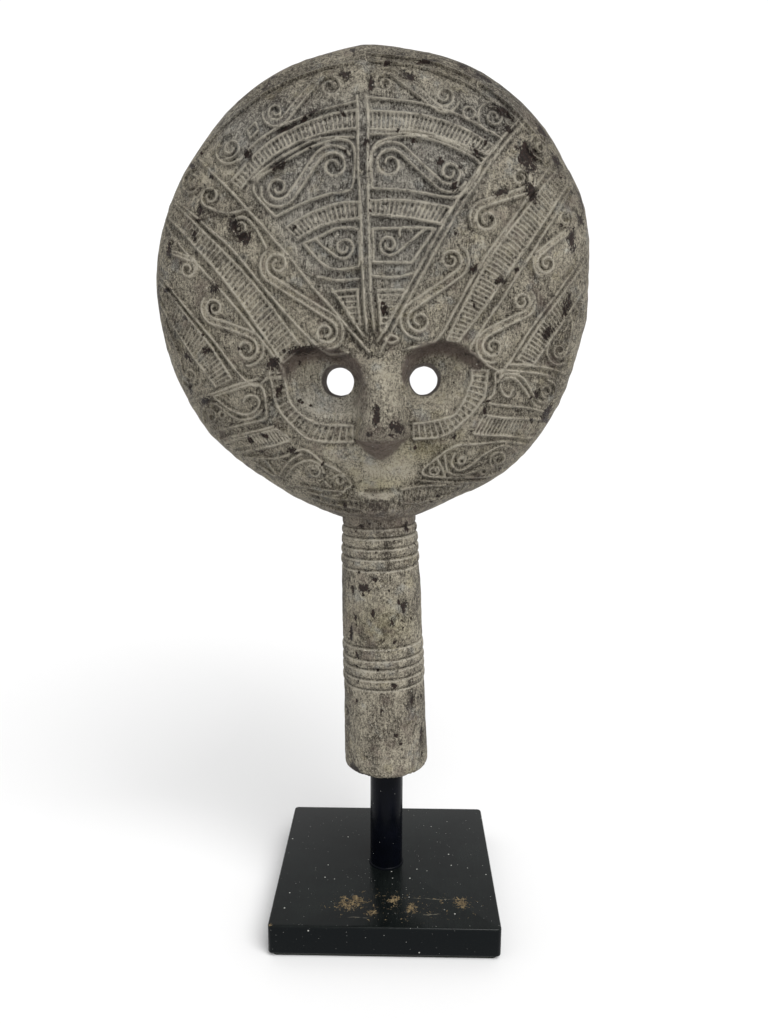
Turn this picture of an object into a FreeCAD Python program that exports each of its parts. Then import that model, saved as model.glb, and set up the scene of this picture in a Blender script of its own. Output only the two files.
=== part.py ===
"""Carved wooden mask on a stand.

One block of wood is carved into a round, hollow-backed face on a ringed neck.  A blind hole in the neck's
foot lets it stand on a steel tube, which is bolted from below through a lacquered board.  A sheet of felt
covers the board's underside.

Frame: millimetres, +Z up, the face looks along -Y, and the origin is the middle of the felt's underside.
The mask is carved upright with the middle of the neck's foot at its origin, then leaned and lifted onto
the post.
"""

import FreeCAD, Part
import os
import re
import Sketcher
from FreeCAD import Placement, Rotation, Vector

X_AXIS, Y_AXIS, Z_AXIS = Vector(1, 0, 0), Vector(0, 1, 0), Vector(0, 0, 1)

SIZES = {
    # the board and its felt
    "base_width": 150.0,
    "base_thickness": 20.0,
    "base_corner_radius": 3.0,
    "base_edge_radius": 1.2,
    "felt_thickness": 2.0,
    "felt_inset": 2.0,
    "felt_corner_radius": 4.0,
    # the post and what fastens it
    "post_diameter": 23.0,
    "post_wall": 1.5,
    "post_bare_length": 77.0,
    "post_in_neck": 56.0,
    "neck_hole_clearance": 0.3,
    "bead_size": 1.8,
    "bead_clearance": 0.05,
    "plug_length": 16.0,
    "plug_clearance": 0.05,
    "bolt_diameter": 8.0,
    "bolt_bite": 12.0,
    "bolt_hole_clearance": 0.25,
    "thread_clearance": 0.05,
    "bolt_head_across_corners": 15.0,
    "bolt_head_height": 5.3,
    "washer_diameter": 20.0,
    "washer_thickness": 1.6,
    "washer_clearance": 0.2,
    "counterbore_diameter": 24.0,
    "counterbore_depth": 8.0,
    # the neck, its heights measured from its foot
    "lean_angle": 1.9,
    "neck_foot_diameter": 58.5,
    "neck_foot_round": 5.0,
    "neck_waist_diameter": 54.8,
    "neck_waist_height": 69.0,
    "neck_top_diameter": 48.6,
    "neck_root": 34.0,
    "neck_shoulder_round": 20.0,
    "low_rings_height": 63.5,
    "low_rings_diameter": 55.5,
    "high_rings_height": 145.0,
    "high_rings_diameter": 51.3,
    "ring_pitch": 7.0,
    "ring_groove_width": 2.6,
    # the round head
    "disc_half_width": 139.5,
    "disc_half_height": 147.0,
    "disc_centre_height": 323.3,
    "dome_depth": 51.0,
    "dome_middle": 1.0,
    "rim_back": 12.0,
    "rim_wall": 15.0,
    "hollow_depth": 38.0,
    "hollow_lift": 9.0,
    "ridge_width": 7.0,
    "ridge_height": 1.5,
    # the face
    "face_shift": 5.0,
    "eye_height": 266.5,
    "eye_spacing": 52.6,
    "eye_hole_diameter": 19.0,
    "socket_outboard": 6.0,
    "socket_half_width": 31.0,
    "socket_half_height": 25.0,
    "socket_half_depth": 18.0,
    "socket_centre": -44.0,
    "nose_bridge_height": 291.0,
    "nose_bridge_width": 11.0,
    "nose_bridge_reach": 47.0,
    "nose_tip_height": 237.0,
    "nose_tip_width": 33.0,
    "nose_tip_reach": 58.0,
    "nose_root_height": 221.0,
    "nose_root_width": 5.0,
    "nose_root_reach": 38.0,
    "nose_edge_round": 3.0,
    "nose_sunk": 20.0,
    "chin_height": 191.0,
    "chin_half_width": 34.0,
    "chin_half_height": 20.0,
    "chin_centre": -8.0,
    "chin_half_depth": 22.0,
    "mouth_height": 198.0,
    "lip_half_width": 14.0,
    "lip_half_height": 4.5,
    "lip_half_depth": 8.0,
    "lip_centre": -27.0,
    "lip_spacing": 6.5,
}
RING_GROOVES = 5  # five grooves leave four raised rings between them


class Drawing:
    """The document, its sheet of sizes, and the features that are made from them."""

    def __init__(self, name):
        self.doc = FreeCAD.newDocument(name)
        self.sheet = self.doc.addObject("Spreadsheet::Sheet", "Sizes")
        for row, (alias, value) in enumerate(SIZES.items(), start=1):
            self.sheet.set(f"A{row}", alias)
            self.sheet.set(f"B{row}", str(value))
            self.sheet.setAlias(f"B{row}", alias)
        self.doc.recompute()

    def size(self, alias):
        """The present value of one driving dimension."""
        return float(self.sheet.get(alias))

    @staticmethod
    def formula(text):
        """The text with each driving dimension read from the sheet."""
        return re.sub(r"\b[a-z][a-z_]+\b", lambda word: f"Sizes.{word.group()}", text)

    def bind(self, thing, **properties):
        """Binds properties to formulas; a double underscore in a name stands for a point."""
        for name, text in properties.items():
            thing.setExpression(name.replace("__", "."), self.formula(text))
        return thing

    def put(self, thing, x="0", y="0", z="0"):
        """Moves a thing to a place given by three formulas."""
        return self.bind(thing, Placement__Base__x=x, Placement__Base__y=y, Placement__Base__z=z)

    def turn(self, thing, axis, angle):
        """Turns a thing about an axis by an angle given by a formula."""
        thing.Placement = Placement(thing.Placement.Base, Rotation(axis, 1))
        return self.bind(thing, Placement__Rotation__Angle=angle)

    # primitives

    def box(self, name, length, width, height, x="0", y="0", z="0"):
        """A box that stands on the point given, centred across it."""
        made = self.doc.addObject("Part::Box", name)
        self.bind(made, Length=length, Width=width, Height=height)
        return self.put(made, f"{x} - ({length}) / 2", f"{y} - ({width}) / 2", z)

    def cylinder(self, name, diameter, height, x="0", y="0", z="0"):
        made = self.doc.addObject("Part::Cylinder", name)
        return self.put(self.bind(made, Radius=f"({diameter}) / 2", Height=height), x, y, z)

    def cone(self, name, low_diameter, top_diameter, height, z="0"):
        made = self.doc.addObject("Part::Cone", name)
        self.bind(made, Radius1=f"({low_diameter}) / 2", Radius2=f"({top_diameter}) / 2", Height=height)
        return self.put(made, z=z)

    def ellipsoid(self, name, wide, deep, high, x="0", y="0", z="0"):
        """An ellipsoid by its half axes."""
        made = self.doc.addObject("Part::Ellipsoid", name)
        return self.put(self.bind(made, Radius1=high, Radius2=wide, Radius3=deep), x, y, z)

    def torus(self, name, diameter, section_radius, z="0"):
        made = self.doc.addObject("Part::Torus", name)
        return self.put(self.bind(made, Radius1=f"({diameter}) / 2", Radius2=section_radius), z=z)

    def wedge(self, name, low_width, low_reach, low_z, top_width, top_reach, top_z):
        """A block whose front slopes from one width and reach to another as it rises."""
        made = self.doc.addObject("Part::Wedge", name)
        self.bind(made, Xmin=f"-{low_width} / 2", Xmax=f"{low_width} / 2", Ymin=low_z)
        self.bind(made, X2min=f"-{top_width} / 2", X2max=f"{top_width} / 2", Ymax=top_z)
        self.bind(made, Zmin="nose_sunk", Zmax=low_reach, Z2min="nose_sunk", Z2max=top_reach)
        self.turn(made, X_AXIS, "90")
        return self.put(made, x="face_shift")

    # joining

    def cut(self, name, base, tool):
        made = self.doc.addObject("Part::Cut", name)
        made.Base, made.Tool = base, tool
        return made

    def common(self, name, base, tool):
        made = self.doc.addObject("Part::Common", name)
        made.Base, made.Tool = base, tool
        return made

    def fuse(self, name, shapes):
        made = self.doc.addObject("Part::MultiFuse", name)
        made.Shapes = shapes
        return made

    def fillet(self, name, base, radius, wanted):
        """Rounds the edges that wanted() picks; the radius is the name of a size."""
        self.doc.recompute()
        made = self.doc.addObject("Part::Fillet", name)
        made.Base = base
        picked = [number for number, edge in enumerate(base.Shape.Edges, start=1) if wanted(edge)]
        made.Edges = [(number, self.size(radius), self.size(radius)) for number in picked]
        return made

    # sketched bodies

    def sketch(self, body, name):
        """A sketch on the body's own horizontal plane."""
        made = body.newObject("Sketcher::SketchObject", name)
        plane = next(feature for feature in body.Origin.OriginFeatures if feature.Role == "XY_Plane")
        made.AttachmentSupport = [(plane, "")]
        made.MapMode = "FlatFace"
        return made

    def dimension(self, sketch, text, kind, *where):
        """A sketch dimension that is bound to a formula."""
        index = sketch.addConstraint(Sketcher.Constraint(kind, *where))
        sketch.setExpression(f"Constraints[{index}]", self.formula(text))

    def square(self, sketch, side):
        """A square of the named side, centred on the sketch's origin."""
        half = self.size(side) / 2
        corners = [Vector(x, y, 0) for x, y in ((-half, -half), (half, -half), (half, half), (-half, half))]
        for start, end in zip(corners, corners[1:] + corners[:1]):
            sketch.addGeometry(Part.LineSegment(start, end), False)
        for line in range(4):
            sketch.addConstraint(Sketcher.Constraint("Coincident", line, 2, (line + 1) % 4, 1))
            level = "Horizontal" if line % 2 == 0 else "Vertical"
            sketch.addConstraint(Sketcher.Constraint(level, line))
        sketch.addConstraint(Sketcher.Constraint("Symmetric", 0, 1, 2, 1, -1, 1))
        self.dimension(sketch, side, "DistanceX", 0, 1, 0, 2, 2 * half)
        self.dimension(sketch, side, "DistanceY", 1, 1, 1, 2, 2 * half)

    def circle(self, sketch, diameter, guess):
        """A circle about the sketch's origin; guess is where the solver starts."""
        sketch.addGeometry(Part.Circle(Vector(), Z_AXIS, guess / 2), False)
        sketch.addConstraint(Sketcher.Constraint("Coincident", 0, 3, -1, 1))
        self.dimension(sketch, diameter, "Diameter", 0, guess)


def is_upright(edge):
    """True for a straight vertical edge."""
    low, high = edge.Vertexes[0].Point, edge.Vertexes[-1].Point
    return abs(low.x - high.x) < 1e-6 and abs(low.y - high.y) < 1e-6 and abs(low.z - high.z) > 1e-6


def is_level(edge):
    """True for an edge that keeps one height."""
    return edge.BoundBox.ZLength < 1e-6


# the stand


def make_felt_pad(draw):
    side = "base_width - 2 * felt_inset"
    sheet = draw.box("felt_sheet", side, side, "felt_thickness")
    return draw.fillet("felt_pad", sheet, "felt_corner_radius", is_upright)


def make_stand_base(draw):
    """The board: a square pad with eased edges, bored and counterbored from below for the bolt."""
    body = draw.doc.addObject("PartDesign::Body", "stand_base")
    outline = draw.sketch(body, "base_outline")
    draw.square(outline, "base_width")
    board = body.newObject("PartDesign::Pad", "base_board")
    board.Profile = outline
    draw.bind(board, Length="base_thickness")
    draw.doc.recompute()
    shape = board
    for name, radius, wanted in (
        ("base_corners", "base_corner_radius", is_upright),
        ("base_arrises", "base_edge_radius", is_level),
    ):
        names = [f"Edge{n}" for n, edge in enumerate(shape.Shape.Edges, start=1) if wanted(edge)]
        eased = body.newObject("PartDesign::Fillet", name)
        eased.Base = (shape, names)
        draw.bind(eased, Radius=radius)
        draw.doc.recompute()
        shape = eased
    for name, diameter, depth in (
        ("counterbore", "counterbore_diameter", "counterbore_depth"),
        ("bolt_hole", "bolt_diameter + 2 * bolt_hole_clearance", "base_thickness"),
    ):
        ring = draw.sketch(body, f"{name}_circle")
        draw.circle(ring, diameter, draw.size("bolt_diameter"))
        pocket = body.newObject("PartDesign::Pocket", name)
        pocket.Profile = ring
        pocket.Reversed = True
        draw.bind(pocket, Length=depth)
        solid = body.Shape.Volume
        draw.doc.recompute()
        if not body.Shape.Volume < solid:
            raise RuntimeError(f"{name} removed nothing")
    return draw.put(body, z="felt_thickness")


BASE_TOP = "felt_thickness + base_thickness"
WASHER_UNDERSIDE = "felt_thickness + counterbore_depth - washer_thickness"
POST_INSIDE = "post_diameter - 2 * post_wall"


def make_base_washer(draw):
    disc = draw.cylinder("washer_disc", "washer_diameter", "washer_thickness", z=WASHER_UNDERSIDE)
    bore = draw.cylinder(
        "washer_bore", "bolt_diameter + 2 * washer_clearance", "washer_thickness", z=WASHER_UNDERSIDE
    )
    return draw.cut("base_washer", disc, bore)


def make_base_bolt(draw):
    """A hexagon-head bolt that hangs from the washer and reaches up into the plug."""
    head = draw.doc.addObject("Part::Prism", "bolt_head")
    head.Polygon = 6
    draw.bind(head, Circumradius="bolt_head_across_corners / 2", Height="bolt_head_height")
    draw.put(head, z=f"{WASHER_UNDERSIDE} - bolt_head_height")
    length = "washer_thickness + base_thickness - counterbore_depth + bolt_bite"
    shank = draw.cylinder("bolt_shank", "bolt_diameter", length, z=WASHER_UNDERSIDE)
    return draw.fuse("base_bolt", [head, shank])


def make_post_plug(draw):
    """The tapped plug that is pressed into the foot of the tube."""
    slug = draw.cylinder("plug_slug", f"{POST_INSIDE} - 2 * plug_clearance", "plug_length", z=BASE_TOP)
    tapping = draw.cylinder("plug_tapping", "bolt_diameter + 2 * thread_clearance", "plug_length", z=BASE_TOP)
    return draw.cut("post_plug", slug, tapping)


def make_stand_post(draw):
    length = "post_bare_length + post_in_neck"
    outside = draw.cylinder("post_outside", "post_diameter", length, z=BASE_TOP)
    inside = draw.cylinder("post_inside", POST_INSIDE, length, z=BASE_TOP)
    return draw.cut("stand_post", outside, inside)


def make_foot_bead(draw):
    """The rounded bead that closes the corner between the post and the board."""
    opening = "post_diameter + 2 * bead_clearance"
    roll = draw.torus("bead_roll", opening, "bead_size", z=BASE_TOP)
    roll.Angle1, roll.Angle2 = -90, 0
    passage = draw.cylinder("bead_passage", opening, "bead_size", z=BASE_TOP)
    return draw.cut("post_foot_bead", roll, passage)


# the mask


def make_neck(draw):
    """A tapering round neck with two groups of rings, cut as grooves."""
    low = draw.cone("neck_low", "neck_foot_diameter", "neck_waist_diameter", "neck_waist_height")
    foot = draw.fillet(
        "neck_foot", low, "neck_foot_round", lambda edge: is_level(edge) and edge.BoundBox.ZMax < 1
    )
    high = draw.cone(
        "neck_high",
        "neck_waist_diameter",
        "neck_top_diameter",
        "disc_centre_height - disc_half_height + neck_root - neck_waist_height",
        z="neck_waist_height",
    )
    waist = draw.size("neck_waist_height") + 1
    top = draw.fillet(
        "neck_shoulders",
        high,
        "neck_shoulder_round",
        lambda edge: is_level(edge) and edge.BoundBox.ZMin > waist,
    )
    grooves = []
    for group in ("low", "high"):
        for step in range(RING_GROOVES):
            height = f"{group}_rings_height + {step} * ring_pitch"
            name = f"{group}_ring_groove_{step + 1}"
            grooves.append(draw.torus(name, f"{group}_rings_diameter", "ring_groove_width / 2", z=height))
    return draw.cut("neck", draw.fuse("neck_plain", [foot, top]), draw.fuse("ring_grooves", grooves))


def make_head(draw):
    """The domed head, cut flat behind, with a raised band from its crown to the nose."""
    middle = {"y": "dome_middle", "z": "disc_centre_height"}
    dome = draw.ellipsoid("dome", "disc_half_width", "dome_depth", "disc_half_height", **middle)
    skin = draw.ellipsoid(
        "ridge_skin",
        "disc_half_width + ridge_height",
        "dome_depth + ridge_height",
        "disc_half_height + ridge_height",
        **middle,
    )
    block = draw.box(
        "head_block",
        "3 * disc_half_width",
        "2 * dome_depth + rim_back",
        "3 * disc_half_height",
        y="rim_back / 2 - dome_depth",
        z="disc_centre_height - 3 * disc_half_height / 2",
    )
    band = draw.box(
        "ridge_band",
        "ridge_width",
        "dome_depth + ridge_height",
        "disc_centre_height + disc_half_height + ridge_height - nose_bridge_height",
        y="dome_middle - (dome_depth + ridge_height) / 2",
        z="nose_bridge_height",
    )
    hollow = draw.ellipsoid(
        "head_hollow",
        "disc_half_width - rim_wall",
        "hollow_depth",
        "disc_half_height - rim_wall - hollow_lift",
        y="rim_back",
        z="disc_centre_height + hollow_lift",
    )
    solids = [draw.common("head_dome", dome, block), draw.common("head_ridge", skin, band)]
    return draw.fuse("head_outside", solids), hollow


def make_nose(draw):
    """A straight nose that widens to its tip, over a facet that runs back to the lip."""
    bridge = ("nose_bridge_width", "nose_bridge_reach", "nose_bridge_height")
    tip = ("nose_tip_width", "nose_tip_reach", "nose_tip_height")
    root = ("nose_root_width", "nose_root_reach", "nose_root_height")
    blade = draw.wedge("nose_blade", *tip, *bridge)
    front = -min(draw.size("nose_tip_reach"), draw.size("nose_bridge_reach")) + 1
    rounded = draw.fillet(
        "nose_rounded",
        blade,
        "nose_edge_round",
        lambda edge: edge.BoundBox.YMax < front and edge.BoundBox.ZLength > 1,
    )
    return [rounded, draw.wedge("nose_underside", *root, *tip)]


def make_mask(draw):
    """The whole carving, leaned as it stands and bored upright for the post."""
    outside, hollow = make_head(draw)
    sockets, eye_holes = [], []
    for side, sign in (("left", "-"), ("right", "+")):
        across = f"face_shift {sign} (eye_spacing / 2 + socket_outboard)"
        half = ("socket_half_width", "socket_half_depth", "socket_half_height")
        sockets.append(draw.ellipsoid(f"{side}_socket", *half, x=across, y="socket_centre", z="eye_height"))
        across = f"face_shift {sign} eye_spacing / 2"
        bore = draw.cylinder(f"{side}_eye_hole", "eye_hole_diameter", "2 * dome_depth")
        draw.turn(bore, X_AXIS, "90")
        eye_holes.append(draw.put(bore, x=across, y="rim_back", z="eye_height"))
    bare = draw.cut("head_sockets", outside, draw.fuse("eye_sockets", sockets))
    chin = draw.ellipsoid(
        "chin", "chin_half_width", "chin_half_depth", "chin_half_height", y="chin_centre", z="chin_height"
    )
    lips = []
    for name, sign in (("upper_lip", "+"), ("lower_lip", "-")):
        half = ("lip_half_width", "lip_half_depth", "lip_half_height")
        lips.append(draw.ellipsoid(name, *half, y="lip_centre", z=f"mouth_height {sign} lip_spacing / 2"))
    carved = draw.fuse("carving", [bare, make_neck(draw), chin, *lips, *make_nose(draw)])
    hollowed = draw.cut("hollowed", carved, draw.fuse("openings", [hollow, *eye_holes]))
    draw.turn(hollowed, Y_AXIS, "-lean_angle")
    draw.put(hollowed, z=f"{BASE_TOP} + post_bare_length")
    hole = draw.cylinder(
        "post_hole",
        "post_diameter + 2 * neck_hole_clearance",
        "post_bare_length + post_in_neck",
        z=BASE_TOP,
    )
    return draw.cut("mask", hollowed, hole)


def main():
    draw = Drawing("carved_mask")
    nodes = [
        make_felt_pad(draw),
        make_stand_base(draw),
        make_base_washer(draw),
        make_base_bolt(draw),
        make_post_plug(draw),
        make_stand_post(draw),
        make_foot_bead(draw),
        make_mask(draw),
    ]
    draw.doc.recompute()
    for thing in draw.doc.Objects:
        if {"Invalid", "Error"} & set(thing.State):
            raise RuntimeError(f"{thing.Label} did not build: {thing.State}")
    for node in nodes:
        if node.Shape.isNull() or not node.Shape.isValid():
            raise RuntimeError(f"{node.Label} has no sound shape")
    os.makedirs("parts", exist_ok=True)
    for node in nodes:
        node.Shape.exportStep(f"parts/{node.Label}.step")
        print(f"{node.Label}: {len(node.Shape.Solids)} solid, {node.Shape.Volume / 1000:.1f} cm3")


main()
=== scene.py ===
"""Carved wooden mask on a square stand: the visual model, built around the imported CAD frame."""

from math import acos, atan2, ceil, cos, hypot, pi, radians, sin, tan
from random import Random

import bpy
import numpy as np
from bpy.props import FloatProperty, FloatVectorProperty, IntProperty, PointerProperty
from mathutils import Euler, Matrix, Vector, noise
from mathutils.geometry import delaunay_2d_cdt
from mathutils.kdtree import KDTree


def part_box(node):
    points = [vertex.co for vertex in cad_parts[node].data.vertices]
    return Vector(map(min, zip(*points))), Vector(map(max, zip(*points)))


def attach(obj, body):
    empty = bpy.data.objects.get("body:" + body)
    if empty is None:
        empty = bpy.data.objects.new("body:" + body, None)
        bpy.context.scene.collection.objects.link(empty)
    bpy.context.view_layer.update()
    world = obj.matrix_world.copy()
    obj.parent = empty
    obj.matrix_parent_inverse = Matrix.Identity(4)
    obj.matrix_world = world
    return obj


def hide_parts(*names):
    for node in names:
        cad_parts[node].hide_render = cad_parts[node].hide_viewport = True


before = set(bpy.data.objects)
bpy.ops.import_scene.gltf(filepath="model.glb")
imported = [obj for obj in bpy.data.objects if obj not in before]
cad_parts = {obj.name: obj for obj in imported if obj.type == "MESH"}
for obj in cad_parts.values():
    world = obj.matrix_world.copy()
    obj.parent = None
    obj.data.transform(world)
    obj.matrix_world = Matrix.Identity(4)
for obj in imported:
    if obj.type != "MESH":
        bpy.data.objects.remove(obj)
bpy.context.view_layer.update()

MM = 0.001

bl_info = {
    "name": "Carved Mask on Stand",
    "version": (1, 0, 0),
    "blender": (4, 5, 0),
    "location": "View3D > Sidebar > Carved Mask",
    "description": "Builds a carved disc-headed mask on a post and square base",
    "category": "Add Mesh",
}


# ---------------------------------------------------------------- sizes and colours


def low(node):
    """A CAD node's lowest corner."""
    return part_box(node)[0]


def high(node):
    """A CAD node's highest corner."""
    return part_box(node)[1]


def length(name, description, default, **limits):
    return FloatProperty(
        name=name, description=description, default=default, unit="LENGTH", precision=4, **limits
    )


def tone(name, description, red, green, blue):
    """A colour setting whose default is given as 0 to 255 display values."""
    return FloatVectorProperty(
        name=name,
        description=description,
        default=linear(red, green, blue),
        subtype="COLOR",
        size=3,
        min=0,
        max=1,
    )


def linear(red, green, blue):
    """Display values from 0 to 255 as linear light."""
    return tuple(
        v / 12.92 if v <= 0.04045 else ((v + 0.055) / 1.055) ** 2.4
        for v in (red / 255, green / 255, blue / 255)
    )


class MaskSizes(bpy.types.PropertyGroup):
    lean: FloatProperty(
        name="Lean", description="How far the mask leans to its side", default=radians(1.9), unit="ROTATION"
    )
    dome: length("Dome", "Depth of the domed face from its back plane", 0.062)
    rim: length("Rim", "Where the back plane lies behind the middle of the neck", 0.012)
    hollow: length("Hollow", "Depth of the hollow behind the face", 0.038)
    socket: length("Eye sockets", "Depth of the eye sockets", 0.0125)
    eye: length("Eye holes", "Radius of the holes through the eyes", 0.0089)
    crest: length("Carved lines", "Height of the carved lines", 0.0018)
    crest_width: length("Line width", "Half width of the carved lines", 0.00085)
    grain: length("Mesh step", "Spacing of the mesh between the carved lines", 0.0017)
    neck_segments: IntProperty(
        name="Neck segments", description="Segments round the neck", default=168, min=48, max=256
    )


class StandSizes(bpy.types.PropertyGroup):
    corner: length("Corner", "Radius of the upright corners of the base", 0.003)
    edge: length("Edge", "Rounding of the edges of the base", 0.0013)
    wall: length("Tube wall", "Wall of the post", 0.0015)
    bore: length("Bolt bore", "Radius of the bore for the bolt", 0.0045)
    counterbore: length("Counterbore", "Radius of the counterbore for the bolt head", 0.012)
    segments: IntProperty(
        name="Round segments", description="Segments round the post", default=128, min=32, max=256
    )


class Colours(bpy.types.PropertyGroup):
    wash: tone("Limewash", "Grey wash on the wood", 184, 176, 157)
    crest: tone("Worn lines", "Rubbed tops of the carved lines", 186, 179, 163)
    stain: tone("Stain", "Dark stain in the ground", 58, 51, 43)
    pit: tone("Pits", "Bare pits and chips", 34, 29, 25)
    # Reddish brown of unpainted wood, also used as painted shade under the brows, on the nose and under the
    # chin.
    bare_and_shade: tone("Bare recess", "Reddish brown of the deep recesses", 112, 98, 90)
    ochre: tone("Ochre bloom", "Yellowish tint near the mouth", 162, 154, 118)
    slate: tone("Slate tint", "Bluish tint of the forehead", 166, 166, 164)
    base: tone("Base paint", "Black green paint of the base", 9, 13, 15)
    under: tone("Undercoat", "Tan undercoat where the base is chipped", 126, 110, 82)
    dust: tone("Dust", "Pale specks on the base", 205, 205, 198)
    post: tone("Post lacquer", "Black lacquer of the post", 6, 8, 13)
    felt: tone("Felt", "Felt under the base", 38, 40, 38)
    zinc: tone("Zinc", "Zinc plating of the bolt and washer", 190, 194, 198)
    floor: tone("Floor", "Studio floor", 245, 245, 245)


def settings():
    return bpy.context.scene.mask_sizes, bpy.context.scene.stand_sizes, bpy.context.scene.mask_colours


# ---------------------------------------------------------------- shader maths


class Value:
    """A number that a node gives out. Arithmetic on it adds Math nodes."""

    def __init__(self, finish, socket):
        self.finish, self.socket = finish, socket

    def math(self, operation, other, swap=False):
        terms = (other, self) if swap else (self, other)
        return self.finish.node("ShaderNodeMath", {"operation": operation}, dict(enumerate(terms)))

    def __add__(self, other):
        return self.math("ADD", other)

    def __mul__(self, other):
        return self.math("MULTIPLY", other)

    def __sub__(self, other):
        return self.math("SUBTRACT", other)

    def __rsub__(self, other):
        return self.math("SUBTRACT", other, swap=True)

    __radd__, __rmul__ = __add__, __mul__

    def most(self, other):
        return self.math("MAXIMUM", other)

    def span(self, start, end, low=0.0, high=1.0):
        """Runs smoothly from low to high as the value goes from start to end."""
        inputs = {"Value": self, "From Min": start, "From Max": end, "To Min": low, "To Max": high}
        return self.finish.node("ShaderNodeMapRange", {"interpolation_type": "SMOOTHSTEP"}, inputs)


class Finish:
    """A material under construction: one Principled shader and the nodes that feed it."""

    def __init__(self, name, **uniform):
        self.material = bpy.data.materials.new(name)
        self.material.use_nodes = True
        self.tree = self.material.node_tree
        self.shader = self.tree.nodes["Principled BSDF"]
        for socket, value in uniform.items():
            self.shader.inputs[socket.replace("_", " ")].default_value = value
        self.place = self.node("ShaderNodeTexCoord", output="Object")

    def node(self, kind, options=None, inputs=None, output=0):
        """Adds a node of a type, with its settings and the values or links of its sockets."""
        node = self.tree.nodes.new(kind)
        for name, value in (options or {}).items():
            setattr(node, name, value)
        for name, value in (inputs or {}).items():
            if isinstance(value, Value):
                self.tree.links.new(value.socket, node.inputs[name])
            else:
                node.inputs[name].default_value = value
        return Value(self, node.outputs[output])

    def feed(self, name, value):
        """Links a value that changes over the surface to the shader."""
        self.tree.links.new(value.socket, self.shader.inputs[name])

    def scaled(self, stretch, place=None, shift=(0, 0, 0)):
        """Coordinates multiplied by a stretch, in cycles per metre."""
        options = {"operation": "MULTIPLY_ADD"}
        inputs = {0: place or self.place, 1: stretch, 2: shift}
        return self.node("ShaderNodeVectorMath", options, inputs)

    def noise(self, stretch, detail=3.0, rough=0.55, warp=0.0, place=None, shift=(0, 0, 0)):
        stretch = stretch if isinstance(stretch, tuple) else (stretch,) * 3
        inputs = {
            "Vector": self.scaled(stretch, place, shift),
            "Scale": 1.0,
            "Detail": detail,
            "Roughness": rough,
            "Distortion": warp,
        }
        return self.node("ShaderNodeTexNoise", None, inputs)

    def cells(self, scale, output="Distance"):
        inputs = {"Vector": self.scaled((scale,) * 3), "Scale": 1.0, "Randomness": 1.0}
        return self.node("ShaderNodeTexVoronoi", {"feature": "F1"}, inputs, output)

    def attribute(self, name):
        return self.node("ShaderNodeAttribute", {"attribute_name": name}, output="Fac")

    def axis(self, name, place=None):
        return self.node("ShaderNodeSeparateXYZ", None, {0: place or self.place}, name)

    def mix(self, factor, first, second):
        def colour(value):
            return value if isinstance(value, Value) else (*value[:3], 1.0)

        options = {"data_type": "RGBA", "blend_type": "MIX", "clamp_factor": True}
        inputs = {0: factor, 6: colour(first), 7: colour(second)}
        return self.node("ShaderNodeMix", options, inputs, 2)

    def bump(self, height, distance, strength):
        inputs = {"Height": height, "Distance": distance, "Strength": strength}
        return self.node("ShaderNodeBump", None, inputs)


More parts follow.
